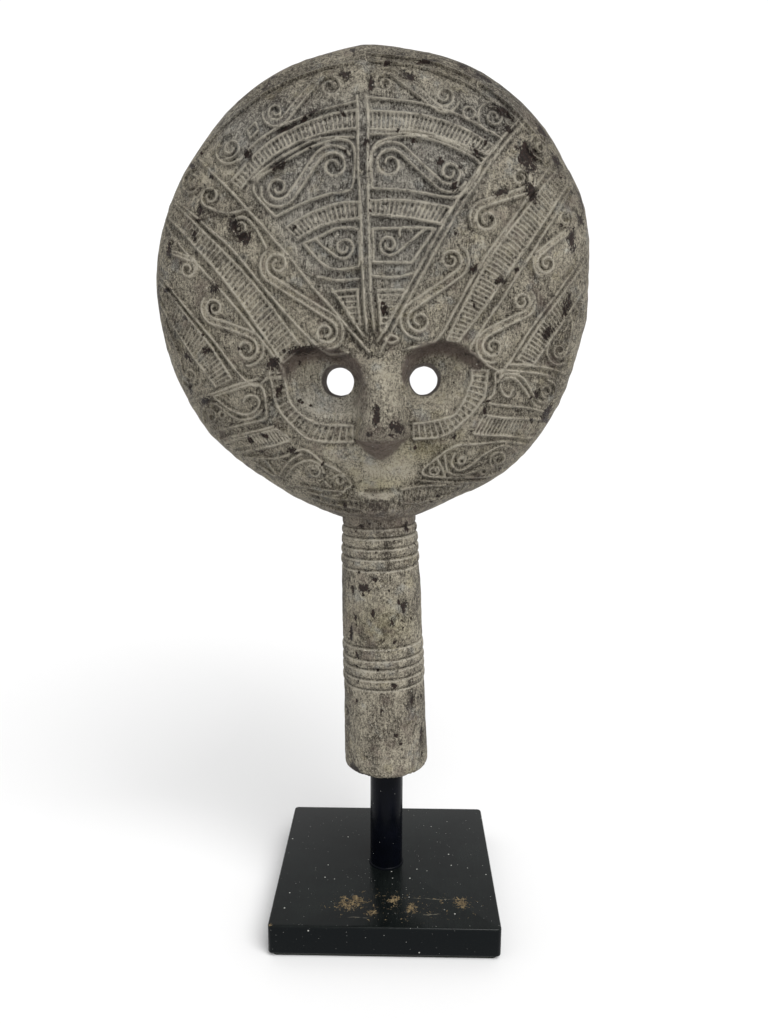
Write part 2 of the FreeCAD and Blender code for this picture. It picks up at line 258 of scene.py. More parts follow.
def carved_wood(name, around=False):
    """Dark-stained wood with a grey wash rubbed over it, worn pale on the carved lines."""
    hue = settings()[2]
    finish = Finish(name, Specular_IOR_Level=0.28)
    crest, groove = finish.attribute("crest"), finish.attribute("groove")
    chip, recess, bloom = (finish.attribute(n) for n in ("chip", "recess", "bloom"))
    slate, pale = finish.attribute("slate"), finish.attribute("pale")

    cloud = finish.noise(30.0, 4.0, 0.6)
    patch = finish.noise(130.0, 5.0, 0.7, 0.5)
    speck = finish.noise(620.0, 4.0, 0.75)
    grit = finish.noise(1500.0, 3.0, 0.75, shift=(6, 2, 5))
    hatch = finish.noise((1000.0, 1000.0, 190.0), 3.0, 0.6, 0.7)
    fibre = finish.noise((1900.0, 1900.0, 420.0), 4.0, 0.65, 0.4, shift=(9, 4, 2))
    strokes = (hatch * 0.6 + fibre * 0.4).span(0.4, 0.58)
    ragged = finish.noise(430.0, 3.0, 0.65, 0.5, shift=(8, 8, 1)).span(0.42, 0.6)

    wear = patch * 0.45 + cloud * 0.3 + (speck - 0.5) * 0.8 + (grit - 0.5) * 0.8 + strokes * 0.1
    wear = (wear + pale * 0.3 - 0.07).span(0.29, 0.71)
    colour = finish.mix(wear, hue.stain, hue.wash)
    colour = finish.mix(slate * 0.4, colour, finish.mix(wear, linear(62, 62, 63), hue.slate))
    colour = finish.mix(bloom * 0.65, colour, finish.mix(wear, linear(92, 84, 58), hue.ochre))
    ruddy = finish.noise(60.0, 3.0, 0.6, shift=(4, 1, 9)).span(0.55, 0.7)
    colour = finish.mix(ruddy * 0.45 * (1 - slate * 0.6), colour, hue.bare_and_shade)
    for size, shift, start, share, dark, light in (
        (75.0, (2, 7, 5), 0.55, 0.35, (60, 63, 65), (168, 172, 170)),
        (85.0, (6, 5, 3), 0.56, 0.3, (88, 78, 54), (182, 172, 138)),
    ):
        cast = finish.noise(size, 3.0, 0.6, shift=shift).span(start, 0.7)
        colour = finish.mix(cast * share, colour, finish.mix(wear, linear(*dark), linear(*light)))
    # The recess attribute carries unpainted wood and painted shade under the brows, on the nose's left side
    # and under the chin; both take this reddish brown.
    bare_and_shade = finish.mix((speck * 0.5 + patch * 0.5).span(0.35, 0.65), linear(74, 62, 56), hue.bare_and_shade)
    colour = finish.mix(recess * (cloud * 0.5 + 0.55), colour, bare_and_shade)
    # Painted shade: the grooves beside the carved lines are darkened, broken up by chisel strokes; over the
    # forehead fan a chisel hatch darkens it too.
    shade_and_hatch = groove * (ragged * 0.65 + 0.35) * (1 - strokes * 0.75) + slate * (1 - strokes) * 0.22
    colour = finish.mix(shade_and_hatch, colour, linear(44, 39, 34))
    rubbed = crest.span(0.2, 0.8) * (fibre * 0.4 + patch * 0.45 + speck * 0.3).span(0.43, 0.66, 0.16, 0.95)
    colour = finish.mix(rubbed * (1 - recess * 0.5), colour, hue.crest)

    cluster = finish.noise(24.0, 2.0, 0.5, shift=(1, 2, 3)).span(0.42, 0.62)
    holes = finish.noise(640.0, 4.0, 0.72, 0.8, shift=(3, 7, 1))
    flakes = finish.noise((520.0, 520.0, 260.0), 5.0, 0.66, 0.8, shift=(7, 3, 6))
    pits = (holes + chip * 0.1 + groove * 0.04 + cluster * 0.05).span(0.66, 0.688)
    pits = pits.most((flakes + chip * 0.34).span(0.69, 0.71))
    dots = finish.noise(1150.0, 1.0, 0.4, shift=(5, 1, 8)).span(0.70, 0.73) * (cluster * 0.7 + 0.3)
    pits = pits.most(dots * 0.85)
    if around:
        sweep = finish.node("ShaderNodeUVMap", {"uv_map": "around"})
        crack = finish.noise((95.0, 1250.0, 0.0), 4.0, 0.6, 0.3, sweep)
        rim = finish.attribute("rim")
        pits = pits.most((crack + rim * 0.14).span(0.685, 0.72) * rim)
        colour = finish.mix(rim * (1 - crack.span(0.35, 0.6)) * 0.35, colour, hue.stain)
    colour = finish.mix(pits, colour, finish.mix(speck.span(0.4, 0.6), hue.pit, linear(56, 42, 36)))
    white = finish.noise(620.0, 0.0, 0.5, shift=(2, 9, 4)).span(0.83, 0.85)
    colour = finish.mix(white * 0.7, colour, linear(204, 199, 184))

    finish.feed("Base Color", colour)
    finish.feed("Roughness", pits * -0.25 + wear * 0.14 + 0.66)
    height = strokes * 0.5 + fibre * 0.4 + speck * 0.7 + grit * 0.4 - pits * 1.6
    finish.feed("Normal", finish.bump(height * (1.0 - crest * 0.3), 0.0011, 0.9))
    return finish.material


def base_paint():
    """Black green paint, dusty, scuffed and chipped through to a tan undercoat."""
    hue = settings()[2]
    finish = Finish("Base paint", Specular_IOR_Level=0.1, Coat_Roughness=0.17)
    cloud, drag = finish.noise(30.0, 4.0, 0.6), finish.noise((700.0, 90.0, 700.0), 3.0, 0.6, 0.5)
    x, y, z = (finish.axis(n) for n in "XYZ")
    film = (cloud * 0.7 + drag * 0.3).span(0.35, 0.7)
    top = z.span(0.0205, 0.0216)
    # Painted reflection: the top is painted lighter than the sides, where the bright studio reflects in the
    # paint, mottled by the film.
    colour = finish.mix(top, hue.base, finish.mix(film, linear(13, 16, 16), linear(24, 28, 27)))

    def near(across, deep, wide, long):
        """1 in the middle of a patch of the top, 0 at its edge."""
        u, v = (x - across) * (1 / wide), (y - deep) * (1 / long)
        return (1 - (u * u + v * v)).most(0.0)

    patch = near(-0.023, -0.050, 0.013, 0.010)
    for place in (
        (0.006, -0.046, 0.006, 0.006), (0.018, -0.055, 0.005, 0.007), (0.051, -0.048, 0.007, 0.009),
        (-0.009, -0.060, 0.006, 0.004), (-0.073, -0.073, 0.003, 0.002),
    ):
        patch = patch.most(near(*place))
    blots = finish.noise(330.0, 5.0, 0.7, 1.2, shift=(4, 4, 0))
    around = near(0.010, -0.052, 0.060, 0.020)
    chips = (blots + patch * 0.17 + around * 0.04).span(0.64, 0.665) * (patch + around * 0.6).span(0.0, 0.12)
    chips = chips * top
    colour = finish.mix(chips, colour, finish.mix(drag.span(0.4, 0.6), hue.under, linear(84, 72, 54)))
    wavy = y + (cloud - 0.5) * 0.012

    def scrape(across, deep, wide):
        """A thin wavy scratch along the front."""
        u, v = (x - across) * (1 / wide), (wavy - deep) * 2500.0
        return (1 - (u * u + v * v)).most(0.0)

    scratch = scrape(0.033, -0.043, 0.017).most(scrape(-0.017, -0.066, 0.008))
    scratch = scratch.most(scrape(0.03, -0.06, 0.007)).span(0.0, 0.5) * top * blots.span(0.4, 0.6)
    colour = finish.mix(scratch * 0.7, colour, linear(118, 112, 98))
    dust = 0.0
    crowd = near(-0.004, -0.028, 0.045, 0.034)
    for count, share, seed in ((170.0, 0.68, 0), (420.0, 0.86, 3), (620.0, 0.92, 5)):
        luck = finish.axis("X", finish.cells(count, output="Color")) + crowd * 0.12
        dots = (1 - finish.cells(count).span(0.05, 0.12)) * luck.span(share, share + 0.02)
        dust = (dots * finish.noise(35.0, 2.0, shift=(1, 5, seed)).span(0.36, 0.52)).most(dust)
    colour = finish.mix(dust * 0.85, colour, hue.dust)
    finish.feed("Base Color", colour)
    finish.feed("Coat Weight", top * (0.17 - chips * 0.16 - dust * 0.16 - film * 0.04))
    finish.feed("Roughness", film * 0.12 + chips * 0.4 + dust * 0.3 + 0.17)
    finish.feed("Normal", finish.bump(drag * 0.35 + cloud * 0.5 - chips * 1.0 + dust, 0.0006, 0.45))
    return finish.material


def post_lacquer():
    """Gloss black lacquer over a drawn steel tube, with a little dust."""
    hue = settings()[2]
    finish = Finish("Post lacquer", Specular_IOR_Level=0.07)
    drawn, cloud = finish.noise((900.0, 900.0, 40.0), 3.0), finish.noise(70.0, 3.0)
    colour = finish.mix(cloud.span(0.35, 0.7), hue.post, linear(9, 11, 19))
    dust = finish.noise(800.0, 1.0, shift=(2, 6, 1)).span(0.78, 0.8)
    finish.feed("Base Color", finish.mix(dust * 0.6, colour, hue.dust))
    finish.feed("Roughness", cloud.span(0.3, 0.7) * 0.1 + drawn * 0.06 + dust * 0.3 + 0.14)
    finish.feed("Normal", finish.bump(drawn * 0.5 + cloud, 0.0004, 0.35))
    return finish.material


def felt():
    """Short dense felt."""
    hue = settings()[2]
    finish = Finish("Felt", Specular_IOR_Level=0.15, Roughness=0.95)
    fuzz, cloud = finish.noise(2600.0, 4.0, 0.7, 1.5), finish.noise(120.0, 3.0)
    finish.feed("Base Color", finish.mix(fuzz * 0.7 + cloud * 0.3, hue.felt, linear(70, 73, 69)))
    finish.feed("Normal", finish.bump(fuzz, 0.0008, 0.9))
    return finish.material


def zinc_plate():
    """Bright zinc plating with turning marks and a little dulling."""
    hue = settings()[2]
    finish = Finish("Zinc plate", Metallic=1.0)
    dull, brush = finish.noise(220.0, 4.0, 0.6), finish.noise((3000.0, 3000.0, 200.0), 2.0)
    finish.feed("Base Color", finish.mix(dull.span(0.3, 0.75), hue.zinc, linear(140, 144, 146)))
    finish.feed("Roughness", dull * 0.25 + brush * 0.1 + 0.2)
    finish.feed("Normal", finish.bump(brush + dull, 0.0002, 0.4))
    return finish.material


# ---------------------------------------------------------------- carved pattern, in mm


def smooth(*points, step=1.0):
    """A rounded line through the points."""

    def between(p, q, r, s, t):
        bend = (2 * p - 5 * q + 4 * r - s) * t * t + (3 * q - p - 3 * r + s) * t**3
        return 0.5 * (2 * q + (r - p) * t + bend)

    points = [points[0], *points, points[-1]]
    out = []
    for a, b, c, d in zip(points, points[1:], points[2:], points[3:]):
        count = max(2, ceil(hypot(c[0] - b[0], c[1] - b[1]) / step))
        for i in range(count):
            out.append(tuple(between(*four, i / count) for four in zip(a, b, c, d)))
    return out + [points[-1]]


def line(*points, step=1.0):
    """Straight runs from point to point."""
    out = []
    for a, b in zip(points, points[1:]):
        count = max(1, ceil(hypot(b[0] - a[0], b[1] - a[1]) / step))
        out += [(a[0] + (b[0] - a[0]) * i / count, a[1] + (b[1] - a[1]) * i / count) for i in range(count)]
    return out + [points[-1]]


def turn(centre, start_radius, end_radius, start, end):
    """A spiral round a centre, from one angle to another."""
    count = max(6, ceil(abs(end - start) * max(start_radius, end_radius)))
    out = []
    for i in range(count + 1):
        radius = start_radius + (end_radius - start_radius) * i / count
        angle = start + (end - start) * i / count
        out.append((centre[0] + radius * cos(angle), centre[1] + radius * sin(angle)))
    return out


def arc(centre, radius, start, end):
    """Part of a circle, between two angles in degrees."""
    return turn(centre, radius, radius, radians(start), radians(end))


class Ribbon(list):
    """The middle line of a raised band."""


def leaving(centre, goal, reach, hand):
    """The angle at which a straight line to a goal leaves a spiral."""
    across, up = goal[0] - centre[0], goal[1] - centre[1]
    return atan2(up, across) + hand * acos(min(0.98, reach / hypot(across, up)))


def wind(centre, radius, angle, hand):
    """A spiral out from a centre, ending at an angle."""
    return turn(centre, 0.3 * radius, radius, angle + hand * 1.35 * 2 * pi, angle)


def scroll(first, first_radius, second, second_radius, hand, gap=4.0, wraps=(0.5, 0.5)):
    """Two spirals joined by a band: each edge of the band winds into one and wraps round the other."""

    def joined(start, end):
        return start + line(start[-1], end[0])[1:-1] + end

    out = []
    ends = (first, first_radius), (second, second_radius)
    for (here, small), (there, far), wrap in ((*ends, wraps[1]), (*ends[::-1], wraps[0])):
        small, far = 1.12 * small, 1.1 * (far + gap)
        angle = leaving(here, there, small + far, hand)
        inner = wind(here, small, angle, hand)
        outer = turn(there, far, far * 0.9, angle + pi, angle + pi + hand * wrap * 2 * pi)
        out.append(joined(inner, outer))
    near, far = first_radius + gap / 2, second_radius + gap / 2
    angle = leaving(first, second, near + far, hand)
    start = turn(first, 0.55 * near, near, angle + hand * 0.9 * 2 * pi, angle)
    end = turn(second, far, 0.55 * far, angle + pi, angle + pi + hand * 0.9 * 2 * pi)
    return [*out, Ribbon(joined(start, end))]


def comma(centre, radius, *tail, hand):
    """A spiral whose line runs out along a tail."""
    wound = wind(centre, radius, leaving(centre, tail[0], radius, hand), hand)
    return wound + smooth(wound[-1], *tail)[1:]


def collared(centre, radius, hand):
    """A spiral inside a part collar."""
    collar = turn(centre, radius + 3, radius + 3, hand * 0.3 * pi, hand * 1.5 * pi)
    return [turn(centre, 0.3 * radius, radius, 0, hand * 2.6 * pi), collar]


def lengths(path):
    """How far along a path each of its points lies."""
    out = [0.0]
    for a, b in zip(path, path[1:]):
        out.append(out[-1] + hypot(b[0] - a[0], b[1] - a[1]))
    return out


def along(path, share):
    """The point at a share of a path's length."""
    reach = lengths(path)
    place = share * reach[-1]
    return tuple(float(np.interp(place, reach, [p[k] for p in path])) for k in (0, 1))


class Pattern:
    """The carved lines: rails stand proud, ticks are the lower rungs between two rails."""

    def __init__(self):
        self.lines, self.rungs, self.ribbons = [], [], []

    def rails(self, *paths):
        """Keeps proud lines, with the raised bands apart."""
        for path in paths:
            (self.ribbons if isinstance(path, Ribbon) else self.lines).append(path)

    def ladder(self, upper, lower, pitch):
        """Two rails with rungs between them."""
        self.rails(upper, lower)
        count = round(lengths(upper)[-1] / pitch)
        for i in range(count + 1):
            self.rungs.append(line(along(upper, i / count), along(lower, i / count), step=0.8))

    def forehead(self):
        rails, ladder = self.rails, self.ladder
        rails(
            smooth((-4.5, 529), (-4, 515), (-4.5, 490), (-3.5, 430), (-2.5, 394)),
            smooth((1.5, 529), (2, 515), (0.5, 470), (1, 420), (2.0, 394)),
            smooth((-104, 502), (-72, 468), (-36, 424), (-1, 381)),
            smooth((97, 517), (64, 477), (29, 422), (5, 380)),
            smooth((92, 517), (58, 475), (23, 419), (4, 388)),
        )
        ladder(
            smooth((-81, 485), (-56, 506), (-25, 518), (-5, 521)),
            smooth((-75, 480), (-53, 498), (-25, 508), (-5, 510)),
            2.9,
        )
        ladder(
            smooth((2, 520), (29, 517.5), (56, 510), (77, 498)),
            smooth((2, 509), (31, 507), (52, 501), (72, 493)),
            2.6,
        )
        rails(
            smooth((-77, 496), (-58, 511), (-26, 522), (-5, 526)),
            smooth((2, 528), (30, 524.5), (58, 516), (80, 504)),
            smooth(
                (-54, 461), (-60, 468), (-67, 480), (-54, 490), (-32, 500), (-17, 504), (-8, 501),
                (-6.5, 490), (-8, 477), (-12, 474), (-24, 472), (-40, 467), (-54, 461),
            ),
            smooth(
                (3, 475), (4, 496), (12, 503), (30, 504), (50, 498), (66, 489), (62, 478), (51, 469),
                (25, 473), (3, 475),
            ),
            *scroll((-52, 478), 6.5, (-19, 488.5), 7.5, -1, wraps=(0.42, 0.3)),
            *scroll((14, 488.5), 8, (48.5, 483), 6.5, 1, wraps=(0.36, 0.3)),
            smooth((-7, 505), (-28, 504.5), (-52, 494.5), (-68, 484)),
            smooth((3, 506), (28, 505.5), (50, 500.5), (69, 490.5)),
        )
        ladder(
            smooth((-48, 455), (-33, 462), (-16, 467), (-5, 467.5)),
            smooth((-41, 448), (-29, 454), (-17, 457), (-5, 458)),
            2.9,
        )
        ladder(smooth((2, 468), (27, 467), (49, 463)), smooth((2, 460), (22, 458), (42, 454)), 3.0)
        rails(
            smooth(
                (-38, 445), (-30, 448), (-18, 453), (-7, 452), (-5, 447), (-5, 433), (-8, 430.5),
                (-20, 430), (-29, 435), (-38, 445),
            ),
            line((3, 452), (3, 433), (25, 432), (39, 451), (30, 452), (3, 452)),
            comma((-14, 442), 6.5, (-26, 443), (-31, 448), hand=1),
            comma((12, 442.5), 6.3, (23, 443), (33, 451), hand=-1),
            arc((22, 449), 3.5, 20, 200),
            smooth((-30, 426), (-18, 423.5), (-6, 424)),
            smooth((3, 425), (15, 424), (26, 426)),
            line((-22, 419), (-4.5, 391)),
            line((-22, 417), (-7, 418), (-6, 398)),
            line((22, 418), (8, 393)),
            line((5, 417), (20, 417)),
            line((5, 417), (6, 394)),
        )
        for i in range(6):
            level = 414 - 3.2 * i
            self.rungs.append(line((-19.5 + 2.1 * i, level), (-7, level + 0.4)))
            self.rungs.append(line((5.5, level + 0.6), (19.5 - 1.9 * i, level)))

    def crown(self):
        self.rails(
            *scroll((-53, 524), 5, (-20, 536.5), 6.5, -1, gap=3.5, wraps=(0.4, 0.3)),
            *collared((-82, 505), 6.5, -1),
            *scroll((12, 537), 6, (47, 529), 6, 1, gap=3.5, wraps=(0.3, 0.3)),
            *collared((76, 517), 6.5, 1),
            line((-69, 509), (-64, 514), (-66, 519), (-71, 515), (-69, 509)),
            arc((61, 519), 3.5, 0, 360),
            smooth((-104, 505), (-85, 523), (-60, 538), (-32, 548), (-6, 552)),
            smooth((4, 553), (35, 548), (62, 537), (85, 521), (97, 510)),
            smooth((5, 558), (38, 553), (66, 541), (90, 523), (104, 507)),
        )

    def temples(self):
        rails, ladder = self.rails, self.ladder
        rails(
            smooth((-123, 481), (-95, 457), (-77, 439), (-54, 410), (-30, 384), (-22, 381), (-14, 382)),
            *scroll((-54, 434), 6.5, (-27, 394), 6.5, -1, gap=3.5, wraps=(0.3, 0.4)),
            comma((-95, 477), 6.5, (-84, 466), (-68, 468), hand=-1),
            comma((-76, 457), 6.5, (-66, 455), (-60, 444), hand=1),
            *collared((-108, 489), 4.5, -1),
            smooth((113, 493), (92, 465), (64, 428), (42, 391), (34, 386), (22, 383)),
            *scroll((48, 433), 6, (29, 399), 6.5, 1, wraps=(0.3, 0.4)),
            *scroll((91, 481), 5.5, (70, 456), 6.5, 1, gap=3.5, wraps=(0.25, 0.25)),
            *collared((105, 501), 4.5, 1),
            smooth((8, 388.5), (12.5, 391), (16, 388.5), (12, 386.5), (8, 388.5)),
        )
        ladder(
            smooth((-121, 477), (-79, 435), (-62, 414), (-42, 386)),
            smooth((-127, 470), (-90, 430), (-54, 377)),
            3.0,
        )
        ladder(
            smooth((117, 490), (92, 460), (66, 426), (45, 387)),
            smooth((124, 481), (98, 446), (77, 418), (52, 386)),
            2.8,
        )
        rails(
            smooth(
                (-129, 466), (-115, 448), (-90, 421), (-55, 374), (-64, 368), (-76, 365), (-98, 392),
                (-120, 418), (-134, 434),
            ),
            smooth(
                (126, 479), (100, 441), (80, 412), (60, 384), (63, 378), (75, 369), (81, 370),
                (104, 402), (129, 432),
            ),
            *scroll((-95, 411), 5.5, (-76, 386), 6.5, -1, gap=3.5, wraps=(0.3, 0.45)),
            *scroll((-123, 452), 3.5, (-112, 435), 5, -1, gap=2, wraps=(0.2, 0.2)),
            *scroll((91, 409), 5, (73, 383), 6, 1, gap=3.5, wraps=(0.3, 0.45)),
            *scroll((120, 458), 5, (107, 431), 6, 1, gap=2.5, wraps=(0.25, 0.3)),
        )
        ladder(
            smooth((-134, 430), (-119, 412), (-101, 390), (-87.5, 368.5)),
            smooth((-136, 417), (-118, 390), (-99, 363.5)),
            3.0,
        )
        ladder(
            smooth((132, 430), (108, 402), (89, 375)),
            smooth((134, 418), (116, 393), (99, 371)),
            2.8,
        )
        rails(
            comma((-117, 371), 5.5, (-124, 383), (-133, 404), hand=1),
            arc((-117, 371), 9, 200, 330),
            comma((117, 379), 5, (125, 390), (130, 403), hand=-1),
            arc((117, 379), 8.5, 150, 300),
        )

    def cheeks(self):
        rails, ladder = self.rails, self.ladder
        ladder(
            smooth(
                (-63, 371), (-61, 360), (-60, 352), (-56, 344), (-50, 337), (-43, 331), (-34, 328.5),
                (-24, 327.5), (-14, 327.5),
            ),
            smooth(
                (-54, 371), (-53, 362), (-51, 353), (-45, 345), (-38, 340.5), (-31, 338.5),
                (-23, 338), (-13, 337.5),
            ),
            4.2,
        )
        ladder(
            smooth(
                (70, 369), (69, 360), (68, 353), (64, 347), (60, 342), (54, 337), (48, 332),
                (41, 329), (34, 328), (24, 328),
            ),
            smooth(
                (60, 369), (60, 363), (58, 358), (56, 352), (53, 347), (49, 342), (42, 340),
                (34, 338.5), (24, 337.5),
            ),
            3.9,
        )
        rails(
            smooth((-125, 353), (-110, 357), (-99, 360), (-85, 364.5), (-70, 368)),
            smooth(
                (-101, 357.5), (-85, 362), (-74, 365), (-69, 363), (-67, 357), (-67, 349), (-68, 343),
                (-80, 340), (-94, 337), (-106, 335),
            ),
            smooth(
                (-101, 357), (-93, 350), (-87, 347), (-80, 345.5), (-74, 348), (-71, 353),
                (-73.5, 357.5), (-79, 357), (-81, 354),
            ),
            smooth(
                (-113, 340), (-112, 348), (-106, 353), (-99, 351.5), (-92, 346), (-85, 342.5),
                (-76, 343.5), (-69.5, 348),
            ),
            turn((-105.5, 345), 1.5, 4.5, 0.5, 8.5),
            arc((-97, 345.5), 2.2, 0, 360),
            smooth((-104, 328.5), (-85, 333), (-63, 338)),
        )
        ladder(
            line((-99, 327), (-81, 332), (-62, 336.5), (-58, 334)),
            line((-92, 320.5), (-78, 322.5), (-67, 325), (-53, 329)),
            2.3,
        )
        rails(
            smooth((84, 372), (92, 371.5), (108, 369), (122, 365)),
            smooth(
                (117, 361), (107, 364.5), (92, 367.5), (76, 368), (75, 361), (74, 355), (71, 349),
                (85, 346.3), (98, 344), (117, 339),
            ),
            smooth(
                (86, 356.5), (83.5, 352), (80, 354), (78, 359), (80.5, 363), (87, 363.5), (92, 358),
                (97, 351), (102, 345.5), (110, 343),
            ),
            smooth(
                (76.5, 361), (80, 365.5), (86, 366.3), (92, 364), (97, 357), (102, 349.5),
                (109, 347.5), (114.5, 352), (115, 358), (110, 361),
            ),
            turn((109, 354.5), 1.5, 4.5, 3.5, 11.5),
        )
        ladder(
            line((68.5, 341.5), (82, 339), (95, 337.5), (109, 336)),
            line((62, 330), (82, 327), (101, 324), (103, 323.5)),
            2.3,
        )

    def jaw(self):
        rails, ladder = self.rails, self.ladder
        rails(
            smooth(
                (-87, 317), (-81, 317), (-67, 316.5), (-58, 318.5), (-45, 323), (-34, 315),
                (-24, 309), (-18, 303), (-16, 299),
            ),
            smooth((-47, 320), (-54, 316), (-59, 311), (-64, 304)),
            smooth((-77, 312), (-71, 306), (-66, 304), (-68, 309), (-71, 314)),
            smooth((-60, 303), (-53, 311), (-46, 315), (-40, 315.5), (-35, 312), (-33.5, 307)),
            turn((-40, 308), 2, 5, 1, 9.5),
            turn((-23.5, 302.5), 1.3, 4, 2, 9),
            smooth((-52, 298), (-42, 296), (-30, 295), (-20, 295)),
            line((-33, 301), (-30, 297.5)),
            smooth((-17, 298), (-20, 296.5), (-23, 293), (-30, 291)),
            smooth(
                (101, 319), (90, 322), (77, 323.5), (65, 323), (53, 323), (45, 320), (36, 313),
                (29, 306), (33, 303), (41, 302), (55, 301), (66, 300), (76, 300.5), (85, 303), (93, 309),
            ),
            smooth((38.5, 315), (42, 308), (43.5, 302.5)),
            turn((36.5, 306.5), 1.5, 3.5, 0, 7),
            smooth(
                (49.5, 317), (47.5, 311), (53, 305.8), (60, 308.5), (69, 315.5), (78, 320),
                (86, 319.5), (91, 315),
            ),
            smooth((43.5, 317), (45, 307), (51, 302.8), (60, 303.5), (66, 306)),
            turn((54, 312.5), 1.5, 3, 1, 8),
            turn((78.5, 311.5), 2, 6, 2, 10.5),
            arc((69, 304), 2.3, 0, 360),
            smooth((29, 300), (42, 298.5), (53, 297), (71, 296.5)),
            smooth((-14, 289), (-30, 290), (-46, 293.5)),
            smooth((-13, 284.5), (-28, 285), (-44, 289)),
            smooth((-12, 280), (-26, 280.5), (-40, 284)),
        )
        ladder(
            smooth((16, 295.5), (28, 296.5), (42, 296), (54, 294.5)),
            smooth((15, 286.5), (28, 285.5), (38, 286), (48, 287.5)),
            2.8,
        )
        ladder(
            smooth((29, 283.5), (38, 284.5), (49, 286)),
            smooth((32, 278.5), (38, 279.5), (46, 282)),
            2.6,
        )

    def drawn(self):
        """All lines and rungs, with the small wander of a hand-held chisel."""
        noise.seed_set(3)
        for part in (self.forehead, self.crown, self.temples, self.cheeks, self.jaw):
            part()

        def wander(path):
            out = []
            for x, z in path:
                sway = noise.noise_vector(Vector((x / 16, z / 16, 3.7)))
                out.append((x + 0.55 * sway.x, z + 0.55 * sway.y))
            return np.array(out)

        return tuple([wander(p) for p in group] for group in (self.lines, self.rungs, self.ribbons))


# ---------------------------------------------------------------- shape of the face, in mm

# The face and neck are drawn upright with the neck's foot at FOOT. RISE lifts them on to the post.
FOOT = 97.0
BARE_POST = 77.0
RISE = low("stand_post").z / MM + BARE_POST - FOOT
DISC_MIDDLE = 420.75
FACE_OUTLINE = smooth(
    (139, 425), (139, 449), (134, 474), (123, 496), (110, 517), (93, 535), (72, 550), (49, 560),
    (25, 565.5), (1, 568.5), (-25, 564), (-49, 557), (-70, 546), (-89, 531), (-105, 513), (-119, 494),
    (-130, 472), (-137, 449), (-140, 425), (-138, 401), (-133, 377), (-124, 354), (-111, 332),
    (-93, 314), (-73, 299), (-51, 285), (-26, 275), (0, 272), (26, 275), (51, 284.5), (75, 295),
    (96, 311), (112, 331), (124, 353), (132, 377), (138, 401), (139, 425),
    step=1.6,
)[:-1]
EYES = ((-21.2, 364.0), (31.4, 363.3))
GRID_LEFT, GRID_FOOT, GRID_WIDE, GRID_TALL = -141, 270.5, 282, 300
BROWS = (
    ((-58, 375), (-52, 382), (-43, 386), (-32, 387), (-20, 385), (-11, 380), (-6, 374)),
    ((17, 372), (20, 380), (29, 386.5), (42, 388.5), (54, 385.5), (64, 379.5), (70, 373)),
)
LOWER_LIDS = (
    ((-58, 375), (-54, 364), (-51, 353), (-45, 345), (-38, 340.5), (-31, 338.5), (-23, 338), (-12, 338)),
    ((70, 373), (61, 366), (58, 357), (53, 347), (49, 342), (42, 340), (34, 338.5), (24, 338)),
)
NOSE_SIDES = (((-12, 338), (-9, 350), (-6, 362), (-6, 374)), ((24, 338), (21, 350), (18, 362), (17, 372)))


def ease(value, start, end):
    """Runs smoothly from 0 to 1 as the value goes from start to end."""
    t = np.clip((value - start) / (end - start), 0, 1)
    return t * t * (3 - 2 * t)


def hill(value, middle, width):
    """1 at the middle, falling off as a bell."""
    return np.exp(-(((value - middle) / width) ** 2))


def spot(x, z, across, level, wide, tall):
    """1 at a place, falling off as an oval bell."""
    return np.exp(-(((x - across) / wide) ** 2) - ((z - level) / tall) ** 2)


def plateau(value, middle, width):
    """1 near the middle, with steep flanks."""
    return np.exp(-(((value - middle) / width) ** 4))


def gap_to(path, x, z):
    """Distance from each place to a line."""
    least = np.full(x.shape, 1e9)
    for (ax, az), (bx, bz) in zip(path, path[1:]):
        dx, dz = bx - ax, bz - az
        t = np.clip(((x - ax) * dx + (z - az) * dz) / (dx * dx + dz * dz), 0, 1)
        least = np.minimum(least, np.hypot(x - ax - t * dx, z - az - t * dz))
    return least


def inside(ring, x, z):
    """Whether each place is inside a closed line."""
    found = np.zeros(x.shape, bool)
    for (ax, az), (bx, bz) in zip(ring, [*ring[1:], ring[0]]):
        if az != bz:
            crossing = (az > z) != (bz > z)
            found ^= crossing & (x < (bx - ax) * (z - az) / (bz - az) + ax)
    return found


def waves(x, z, size, seed):
    """Soft unevenness of handwork, from -1 to 1."""
    return np.array([noise.noise(Vector((a / size, b / size, seed))) for a, b in zip(x, z)])


RIM_ANGLES, RIM_REACH = np.array(
    sorted((atan2(z - DISC_MIDDLE, x), hypot(x, z - DISC_MIDDLE)) for x, z in FACE_OUTLINE)
).T


def rim_share(x, z):
    """0 in the middle of the disc, 1 on its rim."""
    reach = np.interp(np.arctan2(z - DISC_MIDDLE, x), RIM_ANGLES, RIM_REACH, period=2 * pi)
    return np.clip(np.hypot(x, z - DISC_MIDDLE) / reach, 0, 1)


def socket_depth(x, z):
    """Share of the full depth of the eye sockets, and the painted shade under the brow in them."""
    depth, bare_and_shade = np.zeros(x.shape), np.zeros(x.shape)
    for brow, lid, side in zip(BROWS, LOWER_LIDS, NOSE_SIDES):
        ring = [*brow, *side[::-1], *lid[::-1]] if brow[-1][0] < 0 else [*side, *brow, *lid]
        within = inside(ring, x, z)
        top, under, by_nose = gap_to(brow, x, z), gap_to(lid, x, z), gap_to(side, x, z)
        share = ease(top, 0, 8.5) * ease(under, 0, 19) * (0.35 + 0.65 * ease(by_nose, 0, 6))
        share *= ease(by_nose, 0, 2)
        depth = np.maximum(depth, np.where(within, share, 0))
        # Painted shade: a band under the brow's overhang, in the reddish brown of the recesses.
        bare_and_shade = np.maximum(bare_and_shade, np.where(within, (1 - ease(top, 7, 12)) * ease(top, 0, 1.5), 0))
    return depth, bare_and_shade


